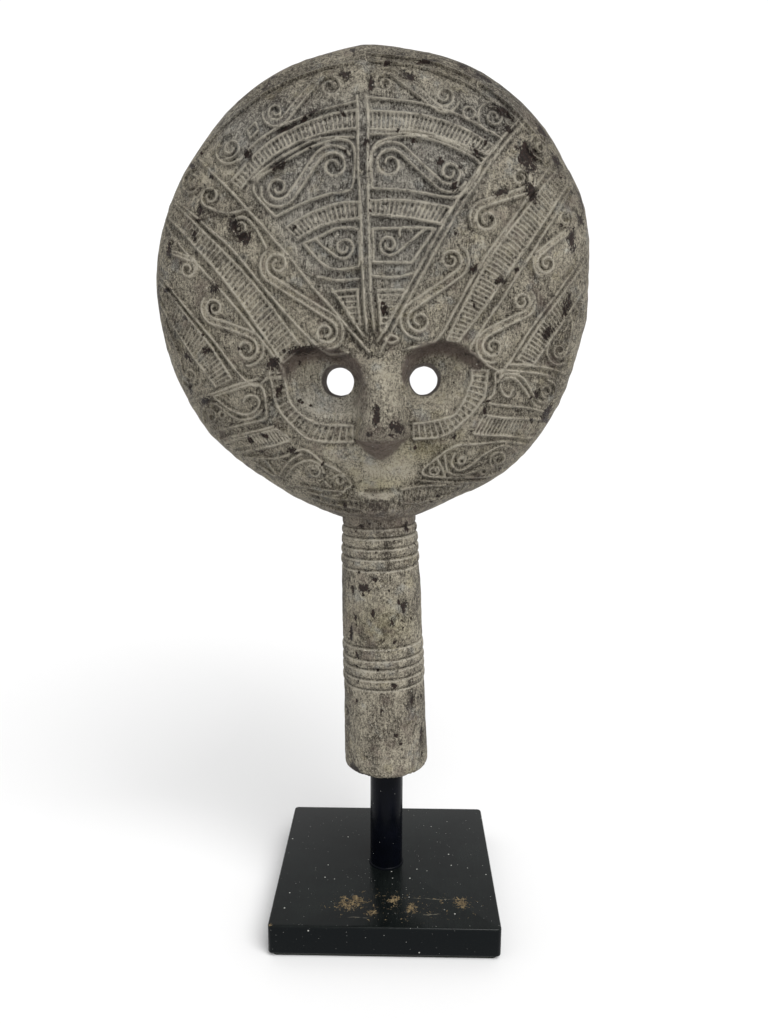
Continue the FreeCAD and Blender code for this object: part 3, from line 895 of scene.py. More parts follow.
def nose_shape(x, z, ground):
    """The wedge of the nose over the ground, its unpainted underside, and painted shade on its left side."""
    bridge, tip, point = 390.0, 330.0, 314.0
    t = np.clip((bridge - z) / (bridge - tip), 0, 1)
    middle, half = 4.5 + 0.6 * t, 6.0 + 11.5 * t**0.9
    ridge = -49.0 - 9.6 * t
    across = np.clip(np.abs(x - middle) / half, 0, 1)
    profile = (1 - across ** (1.7 + 2.6 * t**2)) * ease(z, bridge + 6, bridge - 8)
    bulb = 3.2 * (1 - ease(z, tip, tip + 8.0)) ** 2
    front = ground + (np.minimum(ridge + bulb, ground) - ground) * profile
    ridge += 3.2
    edge = point + (tip - point) * np.clip(np.abs(x - 3.4) / 17.2, 0, 1) ** 1.55
    down = np.clip((tip - z) / np.maximum(tip - edge, 0.1), 0, 1)
    below = ground + (np.minimum(ridge, ground) - ground) * (1 - across**4.3) * (1 - down**0.9)
    under = (z < tip) & (across < 1)
    shape = np.where(z >= tip, front, np.where(under, below, ground))
    bare_and_shade = np.where(under, (1 - ease(down, 0.88, 1.0)) * ease(tip - z, 0, 0.8), 0)
    bare_and_shade = np.maximum(bare_and_shade, 0.45 * hill(z, tip + 1.5, 4.0) * (across < 1))
    # Painted shade on the nose's left side.
    bare_and_shade = np.maximum(bare_and_shade, 0.7 * hill(x, -6.0, 3.6) * hill(z, 360, 17))
    return shape, bare_and_shade


def mouth_shape(x, z):
    """Two small lips on the swell of the chin."""
    bow = (x - 1) ** 2
    upper = 2.3 * hill(z, 299.0 - 0.012 * bow, 3.2) * hill(x, 1, 17)
    lower = 2.9 * hill(z, 291.0 + 0.012 * bow, 2.2) * plateau(x, 1, 12.5)
    parting = 1.9 * hill(z, 294.9 + 0.006 * bow, 0.9) * plateau(x, 1, 10)
    return -upper - lower + parting


def mouth_lines(x, z):
    """The pale lower lip, and painted shade in the parting of the lips and under the lower lip."""
    bow = (x - 1) ** 2
    pale = 1.2 * hill(z, 292.2 + 0.012 * bow, 1.4) * plateau(x, -1, 11)
    # Painted shade in the parting of the lips.
    shade = 2.2 * hill(z, 294.9 + 0.006 * bow, 0.8) * plateau(x, 2, 9)
    # Painted shade under the lower lip.
    shade_and_hatch = 1.8 * hill(z, 287.0 + 0.02 * (x - 3) ** 2, 3.0) * plateau(x, 4, 13)
    rings = 0.7 * hill(np.cos((np.hypot((x - 2) * 0.75, z - 300) - 17) * 1.6), 1.0, 0.45)
    rings *= ease(-z, -286, -280) * ease(-np.abs(x - 2), -40, -30)
    return pale, np.maximum(np.maximum(shade, shade_and_hatch), rings)


def front_surface(x, z, sizes):
    """Depth of the carved face before the pattern, with its unpainted recesses and the painted shade under
    the brows and on the nose's left side.
    """
    back, dome = sizes.rim / MM, sizes.dome / MM
    share = rim_share(x, z)
    y = back - dome * np.sqrt(np.clip(1 - (0.982 * share) ** 2, 0, 1))
    y += 2.6 * ease(share, 0.968, 1.0) ** 2
    y -= 22.0 * spot(x, z, 1, 279, 27, 15)
    y -= 2.0 * hill(x + 1.4, 0, 3.1) * ease(z, 388, 402) * (1 - 0.6 * ease(z, 530, 566))
    depth, brow_shade = socket_depth(x, z)
    brow_gap = np.minimum(gap_to(BROWS[0], x, z), gap_to(BROWS[1], x, z))
    y -= 1.3 * hill(brow_gap, 1.5, 4.5) * (1 - np.minimum(depth * 4, 1))
    y += sizes.socket / MM * depth
    y, nose_bare_and_shade = nose_shape(x, z, y)
    y += mouth_shape(x, z)
    y += 0.55 * waves(x, z, 26, 1.3) + 0.28 * waves(x, z, 9, 4.1)
    return y, np.clip(brow_shade + nose_bare_and_shade, 0, 1)


def back_surface(x, z, sizes):
    """The flat rim behind and the gouged hollow."""
    back, hollow = sizes.rim / MM, sizes.hollow / MM
    inner = 1 - (x / 124.5) ** 2 - ((z - 429.3) / 123.0) ** 2
    deep = ease(inner, 0.0, 0.02) * hollow * np.sqrt(np.clip(inner, 0, 1))
    gouges = 0.9 * np.abs(waves(x, z * 0.55, 7.5, 8.2)) + 0.5 * waves(x, z, 3.6, 2.2)
    return back - deep + np.where(inner > 0, gouges, 0.35 * waves(x, z, 5, 6.6))


def chips():
    """Places, half sizes and turn of the chipped patches, in mm on the upright face."""
    picked = [
        (60, 551, 4, 2, -0.4), (-60, 543, 4, 2.5, 0.5), (27, 541, 5, 3.5, -0.5),
        (82, 521, 7, 3.5, -0.6), (96, 494, 7, 13, 0.3), (98, 473, 5, 8, 0.2),
        (-80, 458, 4, 7, 0.5), (-74, 451, 5, 4.5, 0.0), (-95, 422, 4, 4, 0.4), (124, 446, 3, 11, 0.1),
        (-51, 491, 6, 2.5, 0.4), (51, 475, 4, 3, 0.2), (-46, 513, 8, 2, 0.3), (-109, 354, 5, 3.5, 0.3),
        (108, 390, 6, 3.5, 0.9), (121, 407, 3, 9, -0.2), (111, 341, 6, 3, 0.9), (-125, 448, 2.5, 8, 0.0),
        (-70, 498, 3, 4, 0.0), (-11, 544, 5, 3, 0.2), (-31, 521, 6, 2, 0.2), (72, 544, 8, 2, -0.5),
        (108, 512, 8, 2.5, -0.9), (85, 510, 4, 3, -0.8), (43, 489, 3, 3, 0.1), (25, 322, 2.5, 1.5, 0.5),
        (-42, 384, 12, 3.2, 0.05), (9, 406, 3, 4, 0.0), (-102, 469, 3, 4, 0.0), (-53, 322, 4, 2.5, 0.0),
        (2, 344, 3, 9, 0.0), (14.5, 336.5, 6.5, 4, -0.7), (-3, 333, 2, 2, 0.0), (10.5, 332.5, 2.5, 1.6, 0.0),
        (-2, 567, 6, 2, 0.1), (116, 494, 3, 6, 0.4), (-137, 420, 1.5, 12, 0.0), (133, 470, 1.5, 9, 0.3),
        (-60, 377, 5, 4, 0.2), (62, 428, 3, 3, 0.0),
    ]
    dice = Random(11)
    for _ in range(120):
        angle, share = dice.uniform(0, 2 * pi), dice.random() ** 0.36
        x, z = share * 137 * cos(angle), DISC_MIDDLE + share * 146 * sin(angle)
        if hypot(x - 5, z - 345) > 30:
            size = 0.8 + 2.4 * dice.random() ** 3
            picked.append((x, z, size * dice.uniform(1, 2.2), size * 0.8, dice.uniform(0, pi)))
    return picked


# ---------------------------------------------------------------- mesh helpers


def deselect():
    if bpy.context.object and bpy.context.object.mode != "OBJECT":
        bpy.ops.object.mode_set(mode="OBJECT")
    bpy.ops.object.select_all(action="DESELECT")


def pick(piece):
    deselect()
    piece.select_set(True)
    bpy.context.view_layer.objects.active = piece
    return piece


def place_piece(name, verts, faces=(), edges=()):
    """A new piece from points in metres."""
    mesh = bpy.data.meshes.new(name)
    mesh.from_pydata([tuple(v) for v in verts], list(edges), list(faces))
    piece = bpy.data.objects.new(name, mesh)
    bpy.context.scene.collection.objects.link(piece)
    return pick(piece)


def in_edit(piece, *steps):
    """Runs mesh operators on the whole of a piece in edit mode."""
    pick(piece)
    bpy.ops.object.mode_set(mode="EDIT")
    bpy.ops.mesh.select_all(action="SELECT")
    for step in steps:
        step()
    bpy.ops.object.mode_set(mode="OBJECT")


def outward():
    bpy.ops.mesh.normals_make_consistent(inside=False)


def spin_profile(name, profile, segments, centre=(0, 0, 0)):
    """Turns a profile of radius and height, in mm, into a round piece."""
    verts = [(centre[0] + r * MM, centre[1], z * MM) for r, z in profile]
    piece = place_piece(name, verts, edges=[(i, i + 1) for i in range(len(verts) - 1)])
    in_edit(
        piece,
        lambda: bpy.ops.mesh.spin(steps=segments, angle=2 * pi, center=centre, axis=(0, 0, 1)),
        lambda: bpy.ops.mesh.select_all(action="SELECT"),
        lambda: bpy.ops.mesh.remove_doubles(threshold=0.00002),
        outward,
    )
    return piece


def select_edges(piece, wanted):
    """Selects the edges that a test on their two ends picks, in edit mode."""
    pick(piece)
    bpy.ops.object.mode_set(mode="EDIT")
    bpy.ops.mesh.select_mode(type="EDGE")
    bpy.ops.mesh.select_all(action="DESELECT")
    bpy.ops.object.mode_set(mode="OBJECT")
    for edge in piece.data.edges:
        first, second = (piece.data.vertices[i].co for i in edge.vertices)
        edge.select = wanted(first, second)
    bpy.ops.object.mode_set(mode="EDIT")


def apply_modifier(piece, kind, **options):
    pick(piece)
    modifier = piece.modifiers.new(kind.title(), kind)
    for name, value in options.items():
        setattr(modifier, name, value)
    bpy.ops.object.modifier_apply(modifier=modifier.name)


def bore(piece, radius, bottom, top):
    """Cuts a round hole up the middle of a piece."""
    deselect()
    bpy.ops.mesh.primitive_cylinder_add(
        vertices=64, radius=radius, depth=top - bottom, location=(0, 0, (top + bottom) / 2)
    )
    drill = bpy.context.object
    apply_modifier(piece, "BOOLEAN", operation="DIFFERENCE", solver="EXACT", object=drill)
    bpy.data.objects.remove(drill)


def get_points(piece):
    points = np.empty(len(piece.data.vertices) * 3)
    piece.data.vertices.foreach_get("co", points)
    return points.reshape(-1, 3)


def set_points(piece, points):
    piece.data.vertices.foreach_set("co", np.ascontiguousarray(points, dtype=np.float64).ravel())
    piece.data.update()


def paint(piece, name, values):
    """Keeps a number for each point of a piece, for its material."""
    layer = piece.data.attributes.new(name, "FLOAT", "POINT")
    layer.data.foreach_set("value", np.clip(values, 0, 1).astype(np.float32))


def finish_piece(piece, material, body, slot, *nodes, sharp=None):
    pick(piece)
    piece.data.materials.clear()
    piece.data.materials.append(material)
    if sharp:
        bpy.ops.object.shade_smooth_by_angle(angle=radians(sharp))
    else:
        bpy.ops.object.shade_smooth()
    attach(piece, body)
    if nodes:
        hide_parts(*nodes)
    return piece


def lean(points, sizes):
    """Drawn mm to leaning metres: the mask leans about the middle of its foot."""
    c, s = cos(sizes.lean), sin(sizes.lean)
    x, y, z = points[:, 0], points[:, 1], points[:, 2] - FOOT
    return np.stack([x * c - z * s, y, x * s + z * c + FOOT + RISE], axis=1) * MM


# ---------------------------------------------------------------- the head


class Sieve:
    """Keeps points that stand apart from those already kept."""

    def __init__(self, cell):
        self.cell, self.points, self.cells = cell, [], {}

    def add(self, x, z, apart):
        i, j = int(x // self.cell), int(z // self.cell)
        reach = int(apart // self.cell) + 1
        for di in range(-reach, reach + 1):
            for dj in range(-reach, reach + 1):
                for k in self.cells.get((i + di, j + dj), ()):
                    px, pz = self.points[k]
                    if (px - x) ** 2 + (pz - z) ** 2 < apart * apart:
                        return
        self.cells.setdefault((i, j), []).append(len(self.points))
        self.points.append((x, z))


def beside(path, distance):
    """A path moved sideways."""
    slope = np.gradient(path, axis=0)
    slope /= np.maximum(np.hypot(slope[:, 0], slope[:, 1])[:, None], 1e-6)
    return path + distance * np.stack([-slope[:, 1], slope[:, 0]], axis=1)


def eye_rings(sizes, front):
    """The two ragged rims of the eye holes: wider in front, where they are worn."""
    rings = []
    for number, (x, z) in enumerate(EYES):
        radius = sizes.eye / MM * (1.17 if front else 0.98)
        shift = (-0.8 if number == 0 else 0.3, 0.9) if front else (0.0, 0.0)
        ring = []
        for i in range(56):
            angle = 2 * pi * i / 56
            ragged = 1 + 0.035 * noise.noise(Vector((2 * cos(angle), 2 * sin(angle), number + 5)))
            ragged += 0.05 * max(0, cos(angle - 5.4 + number)) ** 12 if not front else 0
            reach = radius * ragged
            ring.append((x + shift[0] + reach * cos(angle), z + shift[1] + reach * sin(angle)))
        rings.append(ring)
    return rings


def sheet(rings, extra):
    """Triangles over the outline with the eye holes left open. The rings' points come first."""
    points = [p for ring in rings for p in ring]
    edges, start = [], 0
    for ring in rings:
        count = len(ring)
        edges += [(start + i, start + (i + 1) % count) for i in range(count)]
        start += count
    flat = [Vector(p) for p in [*points, *extra]]
    verts, _, faces, origins, _, _ = delaunay_2d_cdt(flat, edges, [], 0, 1e-5)
    order = np.array([o[0] if o else -1 for o in origins])
    if len(verts) != len(flat) or (order < 0).any():
        raise RuntimeError("the face's points ran together")
    place = np.array([tuple(v) for v in verts])
    faces = np.array(faces)
    middle = place[faces].mean(axis=1)
    keep = inside(rings[0], middle[:, 0], middle[:, 1])
    for ring in rings[1:]:
        keep &= ~inside(ring, middle[:, 0], middle[:, 1])
    back_to_input = np.empty(len(verts), int)
    back_to_input[order] = np.arange(len(verts))
    sorted_place = place[back_to_input]
    return sorted_place, order[faces[keep]]


def grid(across, up):
    """Staggered rows of places over the whole face."""
    for j in range(int(GRID_TALL / up)):
        for i in range(int(GRID_WIDE / across)):
            yield GRID_LEFT + (i + 0.5 * (j % 2)) * across, GRID_FOOT + j * up


def clear_of(rings, places, rim_gap, eye_gap):
    """The places on the face that keep clear of its outline and its eye holes."""
    x, z = places[:, 0], places[:, 1]
    outline, *eyes = rings
    keep = inside(outline, x, z) & (gap_to([*outline, outline[0]], x, z) > rim_gap)
    for ring in eyes:
        keep &= ~inside(ring, x, z) & (gap_to([*ring, ring[0]], x, z) > eye_gap)
    return [tuple(p) for p in places[keep]]


def face_points(rings, rails, rungs, sizes):
    """The face's mesh points: on and beside the carved lines, then a grid between them."""
    sieve = Sieve(1.0)
    for ring in rings:
        for x, z in ring:
            sieve.add(x, z, 0.0)
    count = len(sieve.points)
    for paths, offsets, apart in (
        (rails, (0,), 0.6), (rungs, (0,), 0.6),
        (rails, (0.8, -0.8, 1.6, -1.6), 0.62), (rungs, (0.75, -0.75), 0.6),
    ):
        for offset in offsets:
            for path in paths:
                for x, z in beside(path, offset) if offset else path:
                    sieve.add(x, z, apart)
    step = sizes.grain / MM
    for x, z in grid(step, step * 0.87):
        sieve.add(x, z, 0.62 * step)
        by_nose, by_mouth = abs(x - 5) < 32 and 308 < z < 396, abs(x - 1) < 24 and 272 < z < 306
        if by_nose or by_mouth:
            sieve.add(x + step / 2, z, 0.45 * step)
    return clear_of(rings, np.array(sieve.points[count:]), 0.6, 0.5)


def nearest(paths, x, z):
    """Distance from each place to the nearest of the lines."""
    fine = [p for path in paths for p in line(*map(tuple, path), step=0.4)]
    tree = KDTree(len(fine))
    for i, (a, b) in enumerate(fine):
        tree.insert((a, b, 0), i)
    tree.balance()
    return np.array([tree.find((a, b, 0))[2] for a, b in zip(x, z)])


SWEEP = 0.14


def sweep_map(head, x, z):
    """A UV map that runs round the disc and in from its rim, in metres, with its seam at the chin."""
    loops = np.empty(len(head.data.loops), int)
    head.data.loops.foreach_get("vertex_index", loops)
    starts = np.empty(len(head.data.polygons), int)
    head.data.polygons.foreach_get("loop_start", starts)
    around = (np.arctan2(x, z - DISC_MIDDLE) * SWEEP)[loops]
    inward = ((1 - rim_share(x, z)) * SWEEP)[loops]
    spread = np.maximum.reduceat(around, starts) - np.minimum.reduceat(around, starts)
    wrapped = np.repeat(spread > pi * SWEEP, np.diff([*starts, len(loops)]))
    around = np.where(wrapped & (around < 0), around + 2 * pi * SWEEP, around)
    layer = head.data.uv_layers.new(name="around")
    layer.data.foreach_set("uv", np.stack([around, inward], 1).astype(np.float32).ravel())


def carve_head(sizes):
    """The hollow domed head: carved front, gouged back, rim and eye walls as one closed shell."""
    rails, rungs, ribbons = Pattern().drawn()
    front_rings, back_rings = ([FACE_OUTLINE, *eye_rings(sizes, front)] for front in (True, False))
    place, faces = sheet(front_rings, face_points(front_rings, rails, rungs, sizes))
    x, z = place.T
    y, bare_and_shade = front_surface(x, z, sizes)

    rail_gap, rung_gap = nearest(rails, x, z), nearest(rungs, x, z)
    width, height = sizes.crest_width / MM, sizes.crest / MM
    share, uneven = rim_share(x, z), 0.8 + 0.35 * waves(x, z, 7, 9.1)
    fade = 1 - 0.75 * ease(share, 0.965, 1.0)
    crest, rung = hill(rail_gap, 0, width), hill(rung_gap, 0, 0.85 * width)
    groove = np.maximum(hill(rail_gap, 2.1, 1.3), 0.9 * hill(rung_gap, 1.35, 0.65) * (rail_gap > 0.9))
    ribbon = 1 - ease(nearest(ribbons, x, z), 0.9, 2.1)
    groove *= 1 - 0.8 * ribbon
    sunk = ease(rail_gap, 0.7, 1.9) * (1 - ease(rail_gap, 4.5, 9)) * (1 - ribbon)
    relief = height * crest + 0.7 * height * rung * (1 - crest) + 0.3 * height * ribbon * (1 - crest)
    y -= fade * uneven * (relief - 0.7 * groove - 0.8 * sunk)

    chip = np.zeros(len(x))
    for cx, cz, long, short, angle in chips():
        u = (x - cx) * cos(angle) + (z - cz) * sin(angle)
        v = -(x - cx) * sin(angle) + (z - cz) * cos(angle)
        chip = np.maximum(chip, spot(u, v, 0, 0, long, short))
    rim = ease(share, 0.84, 0.97) * (0.45 + 0.55 * ease(x, -20, 60) * ease(z, 440, 500))

    spots = clear_of(back_rings, np.array(list(grid(3.0, 2.6))), 1.2, 1.2)
    back_place, back_faces = sheet(back_rings, spots)
    bx, bz = back_place.T

    face, back = np.stack([x, y, z], 1), np.stack([bx, back_surface(bx, bz, sizes), bz], 1)
    verts, total = [face, back], len(x) + len(bx)
    quads, start = [], 0
    for front_ring, steps in zip(front_rings, (5, 6, 6)):
        count = len(front_ring)
        ring = np.arange(count)
        levels = [start + ring]
        first, last = face[start + ring], back[start + ring]
        for step in range(1, steps):
            t = step / steps
            row = first + (last - first) * t
            if start == 0:
                out = np.stack([row[:, 0], row[:, 2] - DISC_MIDDLE], 1)
                out /= np.hypot(out[:, 0], out[:, 1])[:, None]
                swell = 0.9 * sin(pi * t) + 0.5 * waves(row[:, 0], row[:, 2], 6, 7.0 + t)
                row[:, ::2] += out * swell[:, None]
            else:
                row[:, ::2] += (last - first)[:, ::2] * (sin(pi * t) * 0.25)
            verts.append(row)
            levels.append(total + ring)
            total += count
        levels.append(len(x) + start + ring)
        for upper, lower in zip(levels, levels[1:]):
            quads += list(zip(upper, np.roll(upper, -1), np.roll(lower, -1), lower))
        start += count

    points = np.concatenate(verts)
    every = [*faces.tolist(), *(back_faces + len(x)).tolist(), *(tuple(map(int, q)) for q in quads)]
    head = place_piece("carved_head", lean(points, sizes), every)
    in_edit(head, outward)

    px, _, pz = points.T
    worn = (1 - 0.6 * ease(share, 0.72, 0.95)) * (1 - 0.3 * ease(z, 515, 545))
    lip_edge, lip_shade = mouth_lines(x, z)
    crest = np.maximum(np.maximum(crest, 0.95 * rung), 0.12 * ribbon)
    crest, groove = np.maximum(crest * worn, lip_edge), np.maximum(groove, lip_shade)
    for name, on_face, elsewhere in (
        ("crest", crest, 0.0), ("rim", rim, 0.5), ("groove", groove * fade, 0.0), ("chip", chip, 0.0),
    ):
        paint(head, name, np.concatenate([on_face, np.full(len(points) - len(x), elsewhere)]))
    sweep_map(head, px, pz)
    recess = np.full(len(points), 0.25)
    # Unpainted wood and painted shade from the face, with painted shade where the chin curves under.
    recess[: len(x)] = np.maximum(bare_and_shade, 0.7 * spot(x, z, 1, 277, 34, 7))
    recess[len(x) : len(x) + len(bx)] = 0.75
    recess[len(x) + len(bx) + 4 * len(FACE_OUTLINE) :] = 1.0
    paint(head, "recess", recess)
    paint(head, "bloom", np.maximum(0.8 * spot(px, pz, 1, 299, 17, 5), 0.9 * spot(px, pz, 30, 321, 17, 8)))
    fan = 1 - ease(np.abs(px + 1) - 0.62 * (pz - 385), -4, 22)
    fan *= ease(pz, 385, 440) * (1 - ease(pz, 515, 545))
    paint(head, "slate", np.maximum(fan, 0.9 * spot(px, pz, -30, 352, 20, 12)))
    kept = 0.5 + 0.2 * waves(px, pz, 15, 5.5) - 0.12 * ease(pz, 520, 560)
    # Among these spots, the one at (8, 362) on the nose's right side is a painted highlight and the one at
    # (3, 286) under the lower lip is painted shade.
    for *place, amount in (
        (-32, 351, 19, 11, 0.45), (43, 351, 18, 11, 0.4), (3, 309, 30, 9, 0.35), (8, 362, 8, 22, 0.2),
        (-2, 300, 16, 4, 0.35), (0, 292.5, 11, 2, 0.7), (3, 286, 12, 3, -0.5), (0, 440, 55, 50, 0.1),
    ):
        kept += amount * spot(px, pz, *place)
    paint(head, "pale", kept)
    return head


# ---------------------------------------------------------------- the neck


NECK_RINGS = ((269.3, 263.2, 256.1, 249.4, 242.0), (189.4, 181.1, 174.7, 167.7, 160.6))
NECK_HEIGHTS = (97, 114, 143, 173, 201, 230, 244, 258, 271, 282, 300)
NECK_RADII = (29.2, 28.8, 28.0, 27.4, 27.1, 26.7, 26.0, 25.3, 24.6, 24.4, 24.0)


def neck_radius(z):
    """Radius of the neck at a height above the base, with its two groups of rings."""
    radius = float(np.interp(z, NECK_HEIGHTS, NECK_RADII))
    for group in NECK_RINGS:
        for level in group:
            radius -= 1.15 * hill(z, level, 0.85)
        for upper, lower in zip(group, group[1:]):
            if lower < z < upper:
                radius += 0.55 * sin(pi * (z - lower) / (upper - lower)) ** 0.6
    return radius


def turn_neck(sizes):
    """The ringed neck, with a worn foot and the blind bore that the post fits in."""
    foot, top = FOOT, 306.0
    bore_radius, bore_top = high("stand_post").x / MM + 0.3, high("stand_post").z / MM - RISE
    profile = [(0.0, top)]
    shoulder = 20.0
    profile += [
        (4.0 + shoulder * sin(a), top - shoulder + shoulder * cos(a)) for a in np.linspace(0.15, pi / 2, 14)
    ]
    profile += [(neck_radius(z), z) for z in np.arange(285.0, foot + 4, -0.75)]
    wide = neck_radius(foot + 4)
    profile += [(wide - 4 * (1 - cos(a)), foot + 4 - 4 * sin(a)) for a in np.linspace(0.1, pi / 2, 9)]
    profile += [(r, foot) for r in np.arange(wide - 5.5, bore_radius + 0.8, -1.6)]
    profile += [(bore_radius + 0.35, foot), (bore_radius, foot + 0.4)]
    profile += [(bore_radius, z) for z in np.linspace(foot + 6, bore_top, 12)] + [(0.0, bore_top)]
    neck = spin_profile("ringed_neck", profile, sizes.neck_segments)
    points = get_points(neck) / MM
    x, y, z = points.T
    radius, angle = np.hypot(x, y), np.arctan2(y, x)
    skin = radius > bore_radius + 0.6

    def uneven(around, size, shift):
        """Unevenness that joins up round the neck."""
        places = ((cos(a) * around, sin(a) * around, h / size + shift) for a, h in zip(angle, z))
        return np.array([noise.noise(Vector(p)) for p in places])

    swirl, tool, fine = uneven(2.2, 26, 0), uneven(5, 9, 20), uneven(14, 3, 50)
    below = 1 - ease(z, foot + 1, foot + 11)
    carved = 0.5 * swirl + 0.22 * tool + 0.12 * fine - below * (0.8 * np.abs(tool) + 0.5 * np.abs(fine))
    chip = np.zeros(len(z))
    dice = Random(5)
    picked = [
        (-2.05, 271, 2.0, 1.6), (-2.0, 230, 4.6, 3.2), (-2.45, 198, 1.8, 6.0), (-0.95, 216, 2.8, 4.4),
        (-2.45, 101, 6.5, 3.5), (-2.15, 98, 6.5, 2.2), (-0.25, 265, 1.2, 2.4), (-0.3, 256, 1.4, 2.6),
        (-0.5, 122, 1.8, 6.0), (-1.3, 163, 2.0, 1.8), (-0.8, 150, 1.5, 3.0), (-1.7, 236, 2.2, 1.6),
        (-1.3, 128, 2.0, 1.6),
    ]
    for _ in range(170):
        size = 0.45 + 1.5 * dice.random() ** 3
        picked.append((dice.uniform(-pi, pi), dice.uniform(99, 276), size, size * dice.uniform(0.8, 2.2)))
    for at, level, wide, tall in picked:
        away = np.abs((angle - at + pi) % (2 * pi) - pi) * radius
        chip = np.maximum(chip, 1.25 - 0.75 * np.hypot(away / wide, (z - level) / tall))
    chip = np.clip(chip, 0, 1)
    carved -= 0.9 * chip
    scale = np.where(skin, (radius + carved) / np.maximum(radius, 1e-6), 1)
    lift = np.where(skin & (z < foot + 3), 0.9 * np.abs(fine) + 1.1 * np.maximum(swirl, 0), 0)
    upright = ~skin * (z - foot) * tan(sizes.lean) * (z < bore_top + 1)
    points = np.stack([x * scale + upright, y * scale, z + lift], 1)
    set_points(neck, lean(points, sizes))

    levels = np.array(NECK_RINGS).reshape(-1, 1)
    ring, shade = hill(z, levels - 1.1, 0.6).max(0), hill(z, levels + 0.2, 0.7).max(0)
    bare_and_shade = np.where(skin, 0.0, 1.0) + (z < foot + 0.3) * 0.8
    # Painted shade on the front of the neck just under the chin.
    bare_and_shade = bare_and_shade + 0.5 * ease(z, 262, 272) * (y < 0)
    # Dark streaks following the swirl of the carving are added to the painted shade in the ring grooves.
    shade = np.maximum(shade, 0.6 * ease(np.abs(swirl) + 0.4 * tool, 0.25, 0.5))
    tint = 0.75 * spot(angle, z, -1.5, 205, 0.7, 14)
    # Paler where the swirl noise is high, and darker on the neck's left side as painted shade.
    pale = 0.46 + 0.35 * swirl - 0.15 * hill(angle, -2.7, 0.4)
    for name, values in (
        ("crest", ring * skin), ("groove", shade * skin), ("chip", chip * skin), ("recess", bare_and_shade),
        ("bloom", tint), ("slate", np.zeros(len(z))), ("pale", pale),
    ):
        paint(neck, name, values)
    return neck


# ---------------------------------------------------------------- the stand


def shape_base(sizes):
    """The painted board: rounded corners and edges, bored for the bolt from below."""
    bottom, top = low("stand_base"), high("stand_base")
    middle, extent = (bottom + top) / 2, top - bottom
    deselect()
    bpy.ops.mesh.primitive_cube_add(size=1, location=middle, scale=extent)
    board = bpy.context.object
    board.name = board.data.name = "painted_base"
    bpy.ops.object.transform_apply(location=True, rotation=False, scale=True)
    select_edges(board, lambda a, b: abs(a.z - b.z) > 0.001)
    bpy.ops.mesh.bevel(offset=sizes.corner, segments=6, affect="EDGES")
    bpy.ops.object.mode_set(mode="OBJECT")
    select_edges(board, lambda a, b: abs(a.z - b.z) < 1e-6)
    bpy.ops.mesh.bevel(offset=sizes.edge, segments=4, affect="EDGES")
    bpy.ops.object.mode_set(mode="OBJECT")
    bore(board, sizes.bore, bottom.z - 0.001, top.z + 0.001)
    bore(board, sizes.counterbore, bottom.z - 0.001, bottom.z + 0.008)
    return board


def draw_post(sizes):
    """The post: a thin steel tube with softened ends."""
    bottom, top = low("stand_post"), high("stand_post")
    radius, wall = (top.x - bottom.x) / 2 / MM, sizes.wall / MM
    foot, head = bottom.z / MM, top.z / MM
    ring = [(radius, z) for z in np.linspace(foot + 0.4, head - 0.4, 28)]
    profile = [(radius - 0.4, foot), *ring, (radius - 0.4, head), (radius - wall + 0.3, head)]
    inner = [(radius - wall, z) for z in np.linspace(head - 0.3, foot + 0.3, 8)]
    profile += [*inner, (radius - wall + 0.3, foot), (radius - 0.4, foot)]
    return spin_profile("lacquered_post", profile, sizes.segments)


def lay_bead(sizes):
    """The fillet of filler and lacquer where the post meets the base."""
    bottom, top = low("post_foot_bead"), high("post_foot_bead")
    inner, foot = high("stand_post").x / MM, bottom.z / MM
    outer, crown = inner + 0.5 * (top.x / MM - inner), foot + 0.8 * (top.z - bottom.z) / MM
    profile = [(inner, foot)]
    for a in np.linspace(0, pi / 2, 9):
        profile.append((inner + (outer - inner) * cos(a), foot + (crown - foot) * sin(a)))
    profile.append((inner, foot))
    bead = spin_profile("post_bead", profile, sizes.segments)
    points = get_points(bead)
    for p in points:
        wobble = noise.noise(Vector((p[0] * 160, p[1] * 160, 2.0)))
        share = (p[2] / MM - foot) / (crown - foot)
        p[2] += share * 0.35 * MM * wobble
    set_points(bead, points)
    return bead


# ---------------------------------------------------------------- operators


class MASK_OT_carve_head(bpy.types.Operator):
    """Carve the domed head with its pattern, face and hollow back"""

    bl_idname = "mask.carve_head"
    bl_label = "Carve head"

    def execute(self, context):
        head = carve_head(context.scene.mask_sizes)
        finish_piece(head, carved_wood("Carved wood head", True), "mask", "carved_wood", "mask", sharp=62)
        return {"FINISHED"}


class MASK_OT_turn_neck(bpy.types.Operator):
    """Shape the ringed neck with its worn foot and post bore"""

    bl_idname = "mask.turn_neck"
    bl_label = "Shape neck"

    def execute(self, context):
        neck = turn_neck(context.scene.mask_sizes)
        finish_piece(neck, carved_wood("Carved wood neck"), "mask", "carved_wood", "mask", sharp=50)
        return {"FINISHED"}


class MASK_OT_build_base(bpy.types.Operator):
    """Build the painted square base"""

    bl_idname = "mask.build_base"
    bl_label = "Build base"

    def execute(self, context):
        board = shape_base(context.scene.stand_sizes)
        finish_piece(board, base_paint(), "stand", "base_lacquer", "stand_base", sharp=35)
        return {"FINISHED"}


class MASK_OT_build_post(bpy.types.Operator):
    """Build the lacquered post and the bead at its foot"""

    bl_idname = "mask.build_post"
    bl_label = "Build post"

    def execute(self, context):
        sizes, lacquer = context.scene.stand_sizes, post_lacquer()
        finish_piece(draw_post(sizes), lacquer, "stand", "post_lacquer", "stand_post", sharp=40)
        finish_piece(lay_bead(sizes), lacquer, "stand", "post_lacquer", "post_foot_bead", sharp=50)
        return {"FINISHED"}


